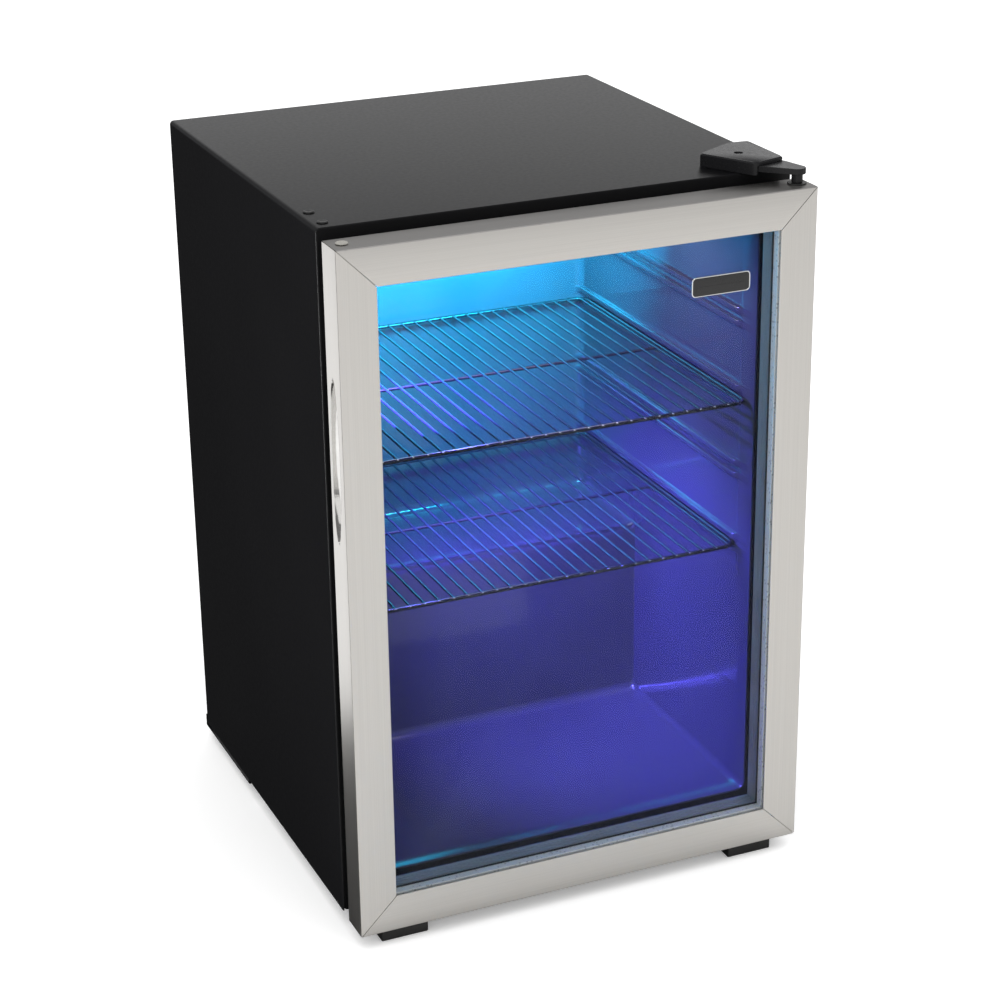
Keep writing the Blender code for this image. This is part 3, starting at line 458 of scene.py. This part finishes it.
BOARD = moulded_plastic("board_mask", (0.02, 0.12, 0.05), (0.03, 0.18, 0.08), (0.30, 0.45), 0.1)
FOAM = rubber_seal("rigid_foam", (0.70, 0.58, 0.34), (0.80, 0.70, 0.46))
BADGE_FACE = moulded_plastic(
    "badge_enamel", (0.010, 0.010, 0.011), (0.014, 0.014, 0.015), (0.22, 0.28), 0.02)


# ---------------------------------------------------------------- cabinet

def make_wrapper():
    """The folded shell, with a rounded hem along its front edge."""
    bend = 4 * MM
    sheet = 1 * MM
    hem = 1.1 * MM
    half = CAB_HIGH.x
    stations = [((-half, CAB_LOW.z), (1.0, 0.0))]
    for centre_x, first in ((bend - half, 180), (half - bend, 90)):
        for k in range(9):
            a = math.radians(first - 90 * k / 8)
            point = (centre_x + bend * math.cos(a), CAB_HIGH.z - bend + bend * math.sin(a))
            stations.append((point, (-math.cos(a), -math.sin(a))))
    stations.append(((half, CAB_LOW.z), (-1.0, 0.0)))
    angles = [k * math.pi / 10 for k in range(6)]
    section = [(hem - hem * math.cos(a), hem - hem * math.sin(a)) for a in angles]
    section = [(depth_in, FACE + back) for depth_in, back in section]
    section += [(1.25 * MM, FACE), (1.25 * MM, FACE + 2.5 * MM), (sheet, FACE + 3 * MM)]
    section += [(sheet, CAB_HIGH.y), (0.2 * MM, CAB_HIGH.y), (0.0, CAB_HIGH.y - 0.2 * MM)]
    loops = []
    for (x, z), (nx, nz) in stations:
        loops.append([Vector((x + nx * d, y, z + nz * d)) for d, y in section])
    settle(loft("outer_wrapper_shell", loops, BLACK_PAINT, sharp=30), "outer_wrapper")


def screw_loops(centre, axis, seat, radius=3.4 * MM):
    """A low domed screw head standing outwards from a seat."""
    steps = [(1.0, 0.0), (1.0, 0.25), (0.92, 0.5), (0.7, 0.68), (0.4, 0.78), (0.12, 0.8)]
    profile = [(radius * r, seat + radius * h * 0.7) for r, h in steps]
    return turned_loops(profile, centre, axis, 20)


def make_back_panel():
    """Flat rear sheet with a shallow pressed groove, screwed at its sides and bottom."""
    low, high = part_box("back_panel")

    def ring(inset, y, radius):
        outline = rounded_rectangle(low.x + inset, high.x - inset, low.z + inset, high.z - inset, radius)
        return lift(outline, "xz", y)

    face = high.y
    groove = 0.5 * MM
    loops = [
        ring(0.0, low.y, 3 * MM), ring(0.0, face - 0.2 * MM, 3 * MM), ring(0.2 * MM, face, 3 * MM),
        ring(18 * MM, face, 8 * MM), ring(20 * MM, face - groove, 8 * MM),
        ring(24 * MM, face - groove, 10 * MM), ring(40 * MM, face - groove, 12 * MM),
        ring(44 * MM, face, 12 * MM),
    ]
    panel = loft("back_panel_sheet", loops, ZINC)
    settle(panel, "back_panel")
    spots = []
    margin = 12 * MM
    for k in range(5):
        z = low.z + margin + (high.z - low.z - 2 * margin) * k / 4
        spots += [(low.x + 9 * MM, z), (high.x - 9 * MM, z)]
    spots += [(x * 0.11, low.z + 9 * MM) for x in (-1, 0, 1)]
    screws = gather("back_panel_screws", [(screw_loops(spot, "y", face), False) for spot in spots], ZINC)
    attach(screws, "cabinet")


def liner_section(y, inset, bottom, reach, radius):
    """An upright section through the inside of the liner, with its shelf ribs on both walls."""
    half = LINER_HIGH.x - LINER_WALL - inset
    top = LINER_HIGH.z - LINER_WALL - inset
    step = LINER_STEP.z + 10 * MM
    section = arc((half - radius, bottom + radius), radius, -90, 0, 6)
    section += [(half, max(step, bottom + radius))]
    for level in RIB_LEVELS:
        for rib_top in (level - 0.3 * MM, level + 12 * MM):
            rib_bottom = rib_top - 6 * MM
            section += [(half, rib_bottom - 2.2 * MM), (half - reach * 0.35, rib_bottom - 1.2 * MM)]
            section += [(half - reach * 0.85, rib_bottom), (half - reach, rib_bottom + 0.9 * MM)]
            section += [(half - reach, rib_top - 0.5 * MM), (half - reach * 0.9, rib_top)]
            section += [(half - reach * 0.1, rib_top), (half, rib_top + 0.4 * MM)]
    section += arc((half - radius, top - radius), radius, 0, 90, 6)
    return lift(section + [(-u, v) for u, v in reversed(section)], "xz", y)


SHELF_BOXES = {name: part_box(name) for name in ("upper_shelf", "lower_shelf")}
LEVEL_STEP = (SHELF_BOXES["upper_shelf"][0].z - SHELF_BOXES["lower_shelf"][0].z) / 2
RIB_LEVELS = [SHELF_BOXES["lower_shelf"][0].z + LEVEL_STEP * k for k in range(4)]
LINER_STEP = Vector((0.0, FACE + 0.2385, 0.235))     # top front edge of the step over the compressor


def make_liner():
    floor = LINER_LOW.z + LINER_WALL
    back = LINER_HIGH.y - LINER_WALL
    corner = 8 * MM
    reach = 5 * MM
    fillet = 10 * MM
    sections = [
        liner_section(FACE, -LINER_WALL * 0.9, floor - LINER_WALL * 0.9, 0.0, corner + LINER_WALL),
        liner_section(FACE + 0.4 * MM, -0.3 * MM, floor - 0.3 * MM, 0.0, corner),
        liner_section(FACE + 1.5 * MM, 0.0, floor, 0.0, corner),
        liner_section(FACE + 22 * MM, 0.0, floor, 0.0, corner),
    ]
    for k in range(1, 5):
        t = k / 4
        rise = reach * math.sin(t * math.pi / 2)
        sections.append(liner_section(FACE + (22 + 9 * t) * MM, 0.0, floor, rise, corner))
    for k in range(7):
        a = math.radians(90 * k / 6)
        y = LINER_STEP.y - fillet + fillet * math.sin(a)
        sections.append(liner_section(y, 0.0, floor + fillet * (1 - math.cos(a)), reach, corner))
    for k in range(7):
        a = math.radians(90 * k / 6)
        y = LINER_STEP.y + fillet * (1 - math.cos(a))
        sections.append(liner_section(y, 0.0, LINER_STEP.z - fillet * (1 - math.sin(a)), reach, corner))
    for k in range(7):
        a = math.radians(90 * k / 6)
        shrink = fillet * (1 - math.cos(a))
        y = back - fillet + fillet * math.sin(a)
        sections.append(liner_section(y, shrink, LINER_STEP.z + shrink, reach * math.cos(a), corner))
    outside = [
        liner_section(back + LINER_WALL, -LINER_WALL, LINER_STEP.z - LINER_WALL, 0.0, corner),
        liner_section(LINER_STEP.y + LINER_WALL, -LINER_WALL, LINER_STEP.z - LINER_WALL, 0.0, corner),
        liner_section(LINER_STEP.y + LINER_WALL, -LINER_WALL, floor - LINER_WALL, 0.0, corner),
        liner_section(FACE + 0.2 * MM, -LINER_WALL, floor - LINER_WALL, 0.0, corner + LINER_WALL),
    ]
    liner = loft("inner_liner_tub", outside + sections, LINER, sharp=40)
    settle(liner, "inner_liner")


def make_shelf(name):
    """Round wires butted onto a bent border rod, with bright metal caps on the wire ends as a painted
    highlight.
    """
    low, high = SHELF_BOXES[name]
    rod = (high.z - low.z) / 2
    wire = 1.25 * MM
    bend = 12 * MM
    centre_z = low.z + rod
    outline = rounded_rectangle(low.x + rod, high.x - rod, low.y + rod, high.y - rod, bend, 10)
    groups = [(sweep_loops([(x, y, centre_z) for x, y in outline], rod, 16, cyclic=True), True)]
    brace = 1.5 * MM
    middle = (low.y + high.y) / 2
    path = [(x, middle, low.z + brace) for x in (low.x + rod, 0.0, high.x - rod)]
    groups.append((sweep_loops(path, brace, 12), False))
    # tips: bright caps on the wire ends, a painted highlight
    tips = []
    z = high.z - wire
    start, stop = low.y + 0.7 * MM, high.y - 0.7 * MM
    nub = [(wire * 0.35, start - 0.45 * MM), (wire * 0.9, start - 0.25 * MM), (wire * 0.95, start + 0.1 * MM)]
    outermost = 13
    for k in range(-outermost, outermost + 1):
        x = k * WIRE_PITCH
        end = start if abs(k) < outermost else start + 2.2 * MM
        path = [(x, end, z), (x, middle, z), (x, 2 * middle - end, z)]
        groups.append((sweep_loops(path, wire, 12), False))
        if abs(k) < outermost:
            tips.append((turned_loops(nub, (x, z), "y", 12), False))
    shelf = gather(f"{name}_wires", groups, WIRE)
    settle(shelf, name)
    ends = gather(f"{name}_wire_ends", tips, TIP_HIGHLIGHT)
    attach(ends, frame["nodes"][name]["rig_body"])


# ---------------------------------------------------------------- door

def door_loop(inset, y, corner=0.0):
    """A rectangle set in from the door's outer edge."""
    u0, u1 = DOOR_LOW.x + inset, DOOR_HIGH.x - inset
    v0, v1 = DOOR_LOW.z + inset, DOOR_HIGH.z - inset
    if corner:
        return lift(rounded_rectangle(u0, u1, v0, v1, corner, 4), "xz", y)
    return lift([(u0, v0), (u1, v0), (u1, v1), (u0, v1)], "xz", y)


def stainless_section():
    """Folded frame member as (distance in from the edge, depth), its outer fold and inner edge rounded."""
    front, back = DOOR_LOW.y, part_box("door_skin_left")[1].y
    fold = 1.0 * MM
    edge = 0.9 * MM
    section = [(0.0, back), (0.0, front + 12 * MM)]
    for a in (k * math.pi / 14 for k in range(8)):
        section.append((fold - fold * math.cos(a), front + fold - fold * math.sin(a)))
    for a in (k * math.pi / 8 for k in range(5)):
        section.append((FRAME_FACE - edge + edge * math.sin(a), front + edge - edge * math.cos(a)))
    section += [(FRAME_FACE - 0.2 * MM, front + 1 * MM), (1 * MM, front + 1 * MM), (1 * MM, back)]
    return section


def make_stainless():
    """Four mitred members, cut at 45 degrees."""
    mitre = 0.42 * MM
    for side in ("top", "bottom", "left", "right"):
        upright = side in ("left", "right")
        near, far = (DOOR_LOW.z, DOOR_HIGH.z) if upright else (DOOR_LOW.x, DOOR_HIGH.x)
        ends = []
        for start, direction in ((near, 1), (far, -1)):
            loop = []
            for inset, y in stainless_section():
                along = start + direction * (inset + mitre)
                if upright:
                    x = DOOR_LOW.x + inset if side == "left" else DOOR_HIGH.x - inset
                    loop.append(Vector((x, y, along)))
                else:
                    z = DOOR_HIGH.z - inset if side == "top" else DOOR_LOW.z + inset
                    loop.append(Vector((along, y, z)))
            ends.append(loop)
        member = loft(f"door_{side}_member", ends, STEEL_UPRIGHT if upright else STEEL_CROSS, sharp=30)
        if side == "left":
            cut_handle_opening(member)
        else:
            cut_hinge_holes(member, side)
        settle(member, f"door_skin_{side}")


def carve(target, loops):
    """Cuts a lofted solid out of a piece."""
    cutter = loft("cutter", loops, CHROME)
    cut = target.modifiers.new("cut", "BOOLEAN")
    cut.object = cutter
    cut.operation = "DIFFERENCE"
    cut.solver = "EXACT"
    bpy.context.view_layer.update()
    graph = bpy.context.evaluated_depsgraph_get()
    mesh = bpy.data.meshes.new_from_object(target.evaluated_get(graph))
    target.modifiers.remove(cut)
    target.data = mesh
    mesh.set_sharp_from_angle(angle=math.radians(30))
    bpy.data.objects.remove(cutter)


def grip_outline(shrink, steps=64):
    """The finger grip's mouth: a long oval drawn from the CAD cup's size."""
    low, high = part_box("handle_cup")
    cy, cz = (low.y + high.y) / 2, (low.z + high.z) / 2
    half_y, half_z = (high.y - low.y) / 2 - shrink, (high.z - low.z) / 2 - shrink
    points = []
    for k in range(steps):
        a = 2 * math.pi * k / steps
        points.append((cy + half_y * math.cos(a), cz + half_z * math.sin(a)))
    return points


def cut_handle_opening(member):
    outline = grip_outline(0.2 * MM)
    carve(member, [lift(outline, "yz", DOOR_LOW.x - 2 * MM), lift(outline, "yz", DOOR_LOW.x + 4 * MM)])


def cut_hinge_holes(member, side):
    if side == "right":
        return
    spots = [(HINGE.x, BUSHING_HOLE)]
    if side == "top":
        spots.append((-HINGE.x, PLUG_HOLE))
    z = DOOR_HIGH.z if side == "top" else DOOR_LOW.z
    for x, radius in spots:
        loops = turned_loops([(radius, z - 3 * MM), (radius, z + 3 * MM)], (x, HINGE.y), "z", 24)
        carve(member, loops)


def make_grip():
    """Polished scoop: a lip lying in the oval opening and a smooth hollow behind it."""
    low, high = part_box("handle_cup")
    depth = high.x - low.x - 1.5 * MM
    mouth = low.x
    loops = []
    rear = ((4.0, depth + 1.2 * MM), (1.2, 9 * MM), (0.4, 1.5 * MM), (0.4, 0.25 * MM), (0.7, 0.0))
    for shrink, x in rear:
        loops.append(lift(grip_outline(shrink * MM), "yz", mouth + x))
    for k in range(13):
        t = k / 12
        shrink = 1.1 * MM + 7.4 * MM * (1 - math.cos(t * math.pi / 2))
        x = mouth + 0.1 * MM + (depth - 0.2 * MM) * math.sin(t * math.pi / 2)
        loops.append(lift(grip_outline(shrink), "yz", x))
    settle(loft("finger_grip", loops, CHROME, sharp=60), "handle_cup")


def make_inner_frame():
    """Plastic carrier of the glazing; its inner edge has fine ribs."""
    outer = 1.3 * MM
    rebate = DOOR_HIGH.x - GLASS_HIGH.x - 0.3 * MM
    front = GLASS_LOW.y
    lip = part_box("glass_inner")[1].y + 0.3 * MM
    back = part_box("door_inner_frame")[1].y
    section = [(outer, front), (outer, back - 0.6 * MM), (outer + 0.6 * MM, back)]
    ribs = 4
    run = (back - lip) / ribs
    inner = FRAME_FACE
    for k in range(ribs):
        y = back - k * run
        section += [(inner - 0.3 * MM, y), (inner, y - 0.4 * MM)]
        section += [(inner, y - run * 0.72), (inner - 0.9 * MM, y - run * 0.86)]
    section += [(inner - 0.3 * MM, lip), (rebate, lip), (rebate, front)]
    loops = [door_loop(inset, y) for inset, y in section]
    carrier = loft("door_carrier_frame", loops, FRAME_PLASTIC, closed=True)
    grip = grip_outline(-0.3 * MM)
    carve(carrier, [lift(grip, "yz", DOOR_LOW.x - 2 * MM), lift(grip, "yz", DOOR_LOW.x + GRIP_DEPTH)])
    for z in (DOOR_HIGH.z, DOOR_LOW.z):
        profile = [(BUSHING_HOLE, z - 17.3 * MM), (BUSHING_HOLE, z + 17.3 * MM)]
        loops = turned_loops(profile, (HINGE.x, HINGE.y), "z", 24)
        carve(carrier, loops)
    profile = [(PLUG_HOLE, DOOR_HIGH.z - 10.3 * MM), (PLUG_HOLE, DOOR_HIGH.z + 4 * MM)]
    loops = turned_loops(profile, (-HINGE.x, HINGE.y), "z", 24)
    carve(carrier, loops)
    settle(carrier, "door_inner_frame")


def make_glazing():
    for name in ("glass_outer", "glass_inner"):
        low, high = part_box(name)
        edge = 0.4 * MM
        inset = DOOR_HIGH.x - high.x
        loops = [door_loop(inset + edge, low.y, 1 * MM), door_loop(inset, low.y + edge, 1 * MM),
                 door_loop(inset, high.y - edge, 1 * MM), door_loop(inset + edge, high.y, 1 * MM)]
        settle(loft(f"{name}_pane", loops, GLASS, sharp=60), name)
    low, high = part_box("glass_spacer")
    outer = DOOR_HIGH.x - high.x
    inner = FRAME_FACE + 0.3 * MM
    bead = 0.5 * MM
    section = [(outer, low.y), (outer, high.y), (inner - bead, high.y), (inner, high.y - bead),
               (inner, low.y + bead), (inner - bead, low.y)]
    loops = [door_loop(inset, y) for inset, y in section]
    settle(loft("glazing_spacer", loops, SPACER, closed=True), "glass_spacer")
    start, stop = high.y - 0.7 * MM, high.y + 0.25 * MM
    near, far = inner - 0.6 * MM, inner + 1.2 * MM
    loops = [door_loop(inset, y) for inset, y in ((near, start), (far, start), (far, stop), (near, stop))]
    attach(loft("glazing_sealant", loops, BLACK_RUBBER, closed=True), "door")


def make_gasket():
    """Magnetic seal: a flat magnet pocket on a double bellows, with mitred corners."""
    low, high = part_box("door_gasket")
    near = DOOR_HIGH.x - high.x
    far = near + 17.5 * MM
    depth = high.y - low.y
    waist = 2.4 * MM
    section = []
    for side, sign, order in ((far, -1, range(0, 13)), (near, 1, range(12, -1, -1))):
        for k in order:
            t = k / 12
            fold = waist * (0.5 - 0.5 * math.cos(4 * math.pi * min(t, 0.999))) if 0.08 < t < 0.72 else 0.0
            section.append((side + sign * fold, low.y + depth * t))
    loops = [door_loop(inset, y) for inset, y in section]
    settle(loft("door_gasket_bellows", loops, SEAL, closed=True, sharp=50), "door_gasket")


def make_badge():
    """A plain blank plate with a thin bright rim."""
    low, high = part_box("badge")
    back, front = high.y, low.y

    def ring(inset, y):
        radius = 4 * MM - min(inset, 3 * MM)
        sides = (low.x + inset, high.x - inset, low.z + inset, high.z - inset)
        return lift(rounded_rectangle(*sides, radius, 8), "xz", y)

    loops = [
        ring(0.0, back), ring(0.0, front + 0.35 * MM), ring(0.35 * MM, front + 0.05 * MM),
        ring(0.8 * MM, front + 0.05 * MM), ring(1.0 * MM, front + 0.3 * MM), ring(1.0 * MM, back),
    ]
    settle(loft("badge_rim", loops, CHROME, closed=True), "badge")
    crown = [ring(1.05 * MM, back), ring(1.05 * MM, front + 0.42 * MM)]
    for t in (0.15, 0.35, 0.6, 1.0):
        crown.append(ring(1.05 * MM + t * 7 * MM, front + 0.42 * MM - 0.32 * MM * math.sin(t * math.pi / 2)))
    attach(loft("badge_plate", crown, BADGE_FACE), "door")


def make_hinge_parts():
    refined("top_hinge_cover", BLACK_GLOSS, 0.7 * MM, 4)
    refined("top_hinge_bracket", BLACK_GLOSS, 0.5 * MM, 3)
    refined("top_hinge_pin", BLACK_GLOSS, 0.3 * MM, 3)
    refined("bottom_hinge_bracket", ZINC, 0.4 * MM, 3)
    refined("bottom_hinge_pin", ZINC, 0.3 * MM, 2)
    refined("hinge_bushing_top", BLACK_PLASTIC, 0.25 * MM, 3)
    refined("hinge_bushing_bottom", BLACK_PLASTIC, 0.25 * MM, 3)
    centre, _, low, _ = round_node("top_hinge_cover_screw")
    screw = loft("cover_screw", screw_loops(centre, "z", low.z, 3.5 * MM), ZINC)
    settle(screw, "top_hinge_cover_screw")
    make_plug("hinge_hole_plug", PLUG_PLASTIC)
    make_plug("top_plug_front", BLACK_PLASTIC)
    make_plug("top_plug_back", BLACK_PLASTIC)


def make_plug(node, material):
    """Push-in cap with a shallow dished crown."""
    centre, radius, low, high = round_node(node)
    seat = high.z - 1.1 * MM
    profile = []
    if node == "hinge_hole_plug":
        profile += [(2.6 * MM, low.z), (3.3 * MM, low.z + 1 * MM), (3.3 * MM, seat)]
    profile += [(radius * 0.98, seat), (radius, seat + 0.35 * MM), (radius * 0.95, seat + 0.7 * MM)]
    for share, drop in ((0.84, 0.05), (0.74, 0.0), (0.62, 0.12), (0.45, 0.3), (0.1, 0.34)):
        profile.append((radius * share, high.z - drop * MM))
    settle(loft(f"{node}_cap", turned_loops(profile, centre, "z", 36), material, sharp=50), node)


# ---------------------------------------------------------------- the rest of the cabinet

def dress_small_parts():
    refined("front_frame", BLACK_PAINT, 0.5 * MM, 3)
    refined("bottom_panel", ZINC, 0.3 * MM, 2)
    refined("compressor_tray", BLACK_PAINT, 0.4 * MM, 3)
    refined("compressor_base", ZINC, 0.4 * MM, 2)
    refined("relay_cover", BLACK_PLASTIC, 1.2 * MM, 4)
    refined("power_inlet", BLACK_PLASTIC, 0.8 * MM, 3)
    refined("front_foot_left", BLACK_PLASTIC, 0.9 * MM, 4)
    refined("front_foot_right", BLACK_PLASTIC, 0.9 * MM, 4)
    for side in ("left", "right"):
        refined(f"rear_spacer_{side}", BLACK_RUBBER, 0.6 * MM, 3)
        refined(f"rear_foot_{side}", BLACK_RUBBER, 0.8 * MM, 3)
    refined("control_housing", PALE_PLASTIC, 0.5 * MM, 3)
    refined("thermostat_knob", PALE_PLASTIC, 0.4 * MM, 3)
    refined("light_switch", BLACK_PLASTIC, 0.4 * MM, 3)
    refined("led_lens", LENS, 0.3 * MM, 2)
    refined("drain_pan", PALE_PLASTIC, 0.4 * MM, 2)
    for number in range(1, 5):
        refined(f"compressor_grommet_{number}", BLACK_RUBBER, 0.4 * MM, 2)
    kept = (("insulation_foam", FOAM), ("evaporator_plate", ALUMINIUM), ("condenser_coil", COPPER),
            ("thermostat", ZINC), ("led_board", BOARD))
    for node, material in kept:
        target = frame["nodes"][node]
        target.data.materials.clear()
        target.data.materials.append(material)


def make_turned(name, node, shape, steps, material, sharp):
    """An upright turned part, its profile given in shares of the node's radius and height."""
    centre, radius, low, high = round_node(node)
    tall = high.z - low.z
    profile = [(radius * r, low.z + tall * h) for r, h in shape]
    settle(loft(name, turned_loops(profile, centre, "z", steps), material, sharp=sharp), node)


def make_compressor():
    shape = [
        (0.60, 0.0), (0.74, 0.008), (0.86, 0.04), (0.93, 0.09), (0.955, 0.16), (0.96, 0.34),
        (0.965, 0.352), (1.0, 0.356), (1.0, 0.398), (0.965, 0.402), (0.95, 0.42), (0.945, 0.62),
        (0.92, 0.74), (0.86, 0.84), (0.74, 0.915), (0.56, 0.965), (0.34, 0.99), (0.10, 1.0),
    ]
    make_turned("compressor_can", "compressor", shape, 72, BLACK_GLOSS, 40)
    for node in ("suction_tube", "discharge_tube"):
        refined(node, COPPER, 0.0)
    shape = [
        (0.28, 0.0), (0.30, 0.06), (0.75, 0.13), (0.97, 0.17), (1.0, 0.2),
        (1.0, 0.8), (0.97, 0.83), (0.75, 0.87), (0.30, 0.94), (0.28, 1.0),
    ]
    make_turned("filter_drier_shell", "filter_drier", shape, 32, COPPER, 50)


# ---------------------------------------------------------------- studio

def by_ray(tree, kind, first, second):
    """The second colour for one kind of ray, the first for all others."""
    path = tree.nodes.new("ShaderNodeLightPath")
    return mix_colours(tree, path.outputs[kind], first, second)


def make_stage():
    """A pale floor that stays plain to the eye while the object mirrors a dimmer room, with a painted shadow
    under the fridge.
    """
    bm = bmesh.new()
    bmesh.ops.create_grid(bm, x_segments=2, y_segments=2, size=14.0)
    recipe = Recipe("studio_floor")
    parts = recipe.node("ShaderNodeSeparateXYZ", [("Vector", recipe.place)])
    bright_until, dark_from = -0.27, -0.21       # painted shadow: reflections see a dark floor under the fridge
    front = recipe.span(parts.outputs["Y"], 1.0, 0.0, bright_until, dark_from)
    mirrored = recipe.ramp(front, (0.03, 0.03, 0.03), (0.75, 0.742, 0.727), 0.0, 1.0)
    pale = recipe.ramp(recipe.noise(0.6, 2.0), (0.93, 0.93, 0.93), (0.95, 0.95, 0.95))
    recipe.colour(by_ray(recipe.tree, "Is Camera Ray", mirrored, pale))
    recipe.rough(recipe.span(recipe.noise(2.0, 2.0), 0.85, 0.95))
    recipe.set(specular_ior_level=0.0, emission_strength=1.0)
    lift_up = by_ray(recipe.tree, "Is Camera Ray", (0.0, 0.0, 0.0), (0.20, 0.20, 0.20))
    recipe.tree.links.new(lift_up, recipe.shader.inputs["Emission Color"])
    floor = finish_mesh("studio_floor", bm, recipe.material)
    floor.location.z = -0.0002
    world = bpy.data.worlds.new("studio")
    world.use_nodes = True
    background = world.node_tree.nodes["Background"]
    sky = by_ray(world.node_tree, "Is Glossy Ray", (1.0, 1.0, 1.0), (0.30, 0.30, 0.305))
    world.node_tree.links.new(sky, background.inputs["Color"])
    background.inputs["Strength"].default_value = 1.12
    bpy.context.scene.world = world


def area_light(name, position, target, size, power, colour=(1.0, 1.0, 1.0)):
    data = bpy.data.lights.new(name, "AREA")
    data.shape = "RECTANGLE"
    data.size, data.size_y = size
    data.energy = power
    data.color = colour
    lamp = bpy.data.objects.new(name, data)
    bpy.context.scene.collection.objects.link(lamp)
    lamp.location = position
    lamp.rotation_euler = (Vector(target) - Vector(position)).to_track_quat("-Z", "Y").to_euler()
    lamp.visible_camera = False
    return lamp


# pieces lit by the steel card and not by the rear softbox
STEEL_PIECES = (
    "door_top_member", "door_bottom_member", "door_left_member", "door_right_member", "finger_grip",
)
# pieces that the lamps in the cabin reach
CABIN_PIECES = (
    "inner_liner_tub", "upper_shelf_wires", "lower_shelf_wires", "upper_shelf_wire_ends",
    "lower_shelf_wire_ends", "door_gasket_bellows", "control_housing_surface",
    "thermostat_knob_surface", "light_switch_surface", "led_lens_surface",
)


def light_only(lamp, pieces):
    """Keeps a lamp's light on a few pieces, so that it doesn't spill over the floor."""
    group = bpy.data.collections.new(f"{lamp.name}_reach")
    for piece in pieces:
        group.objects.link(piece)
    lamp.light_linking.receiver_collection = group


def make_lights():
    middle = (0.0, 0.0, 0.35)
    area_light("top_softbox", (-0.6, -0.9, 2.6), middle, (2.0, 2.0), 14.0)
    area_light("front_softbox", (-1.4, -2.6, 1.2), middle, (1.8, 1.4), 8.0)
    area_light("right_softbox", (2.6, -0.8, 1.4), middle, (1.4, 1.6), 6.0)
    steel = [piece for piece in bpy.context.scene.objects if piece.name in STEEL_PIECES]
    rest = [piece for piece in bpy.context.scene.objects if piece.type == "MESH" and piece not in steel]
    light_only(area_light("rear_softbox", (1.8, 4.2, 2.3), (0.0, 0.0, 0.6), (5.0, 2.6), 27.0), rest)
    light_only(area_light("steel_card", (-0.42, 0.20, 0.28), (-0.22, FACE, 0.32), (0.5, 0.56), 1.15), steel)
    shell = [piece for piece in rest if piece.name == "outer_wrapper_shell"]
    light_only(area_light("edge_card", (-1.20, -0.62, 0.16), (-0.22, FACE, 0.40), (0.20, 1.1), 26.0), shell)
    low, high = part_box("led_lens")
    lens = (low + high) / 2
    inside = [piece for piece in bpy.context.scene.objects if piece.name in CABIN_PIECES]
    deep_blue = (0.12, 0.10, 1.0)
    warm_fill = (1.0, 0.88, 0.92)
    cyan = (0.0, 0.62, 1.0)
    table = (
        ("cabin_lamp", (lens.x, lens.y, low.z - 2 * MM), (0.06, lens.y + 0.08, 0.0), (0.034, 0.020), 3.6,
         deep_blue, 180),
        ("cabin_glow", (0.00, FACE + 0.18, 0.60), (0.01, FACE + 0.36, 0.51), (0.34, 0.10), 10.0, cyan, 105),
        ("cabin_wash", (-0.12, FACE + 0.12, 0.46), (0.19, FACE + 0.18, 0.14), (0.14, 0.10), 6.0,
         deep_blue, 85),
        ("cabin_fill", (0.0, FACE + 0.12, 0.60), (0.02, FACE + 0.20, 0.0), (0.30, 0.12), 0.9, warm_fill, 180),
    )
    for name, position, target, size, power, colour, spread in table:
        lamp = area_light(name, position, target, size, power, colour)
        lamp.data.spread = math.radians(spread)
        light_only(lamp, inside)


def make_camera():
    azimuth, elevation, roll = (math.radians(a) for a in (-23.36, 22.31, -0.75))
    distance = 2.198
    target = Vector((-0.061, FACE, 0.394))
    level = math.cos(elevation)
    back = Vector((math.sin(azimuth) * level, -math.cos(azimuth) * level, math.sin(elevation)))
    right = (-back).cross(Vector((0.0, 0.0, 1.0))).normalized()
    up = right.cross(-back)
    tilted_right = right * math.cos(roll) + up * math.sin(roll)
    tilted_up = up * math.cos(roll) - right * math.sin(roll)
    data = bpy.data.cameras.new("camera")
    data.lens = 89.9
    data.sensor_width = 36.0
    camera = bpy.data.objects.new("camera", data)
    bpy.context.scene.collection.objects.link(camera)
    place = Matrix((tilted_right, tilted_up, back)).transposed().to_4x4()
    place.translation = target + back * distance
    camera.matrix_world = place
    bpy.context.scene.camera = camera
    bpy.context.scene.view_settings.view_transform = "Standard"


make_camera()
make_stage()
make_wrapper()
make_back_panel()
make_liner()
make_shelf("upper_shelf")
make_shelf("lower_shelf")
make_stainless()
make_grip()
make_inner_frame()
make_glazing()
make_gasket()
make_badge()
make_hinge_parts()
dress_small_parts()
make_compressor()
make_lights()
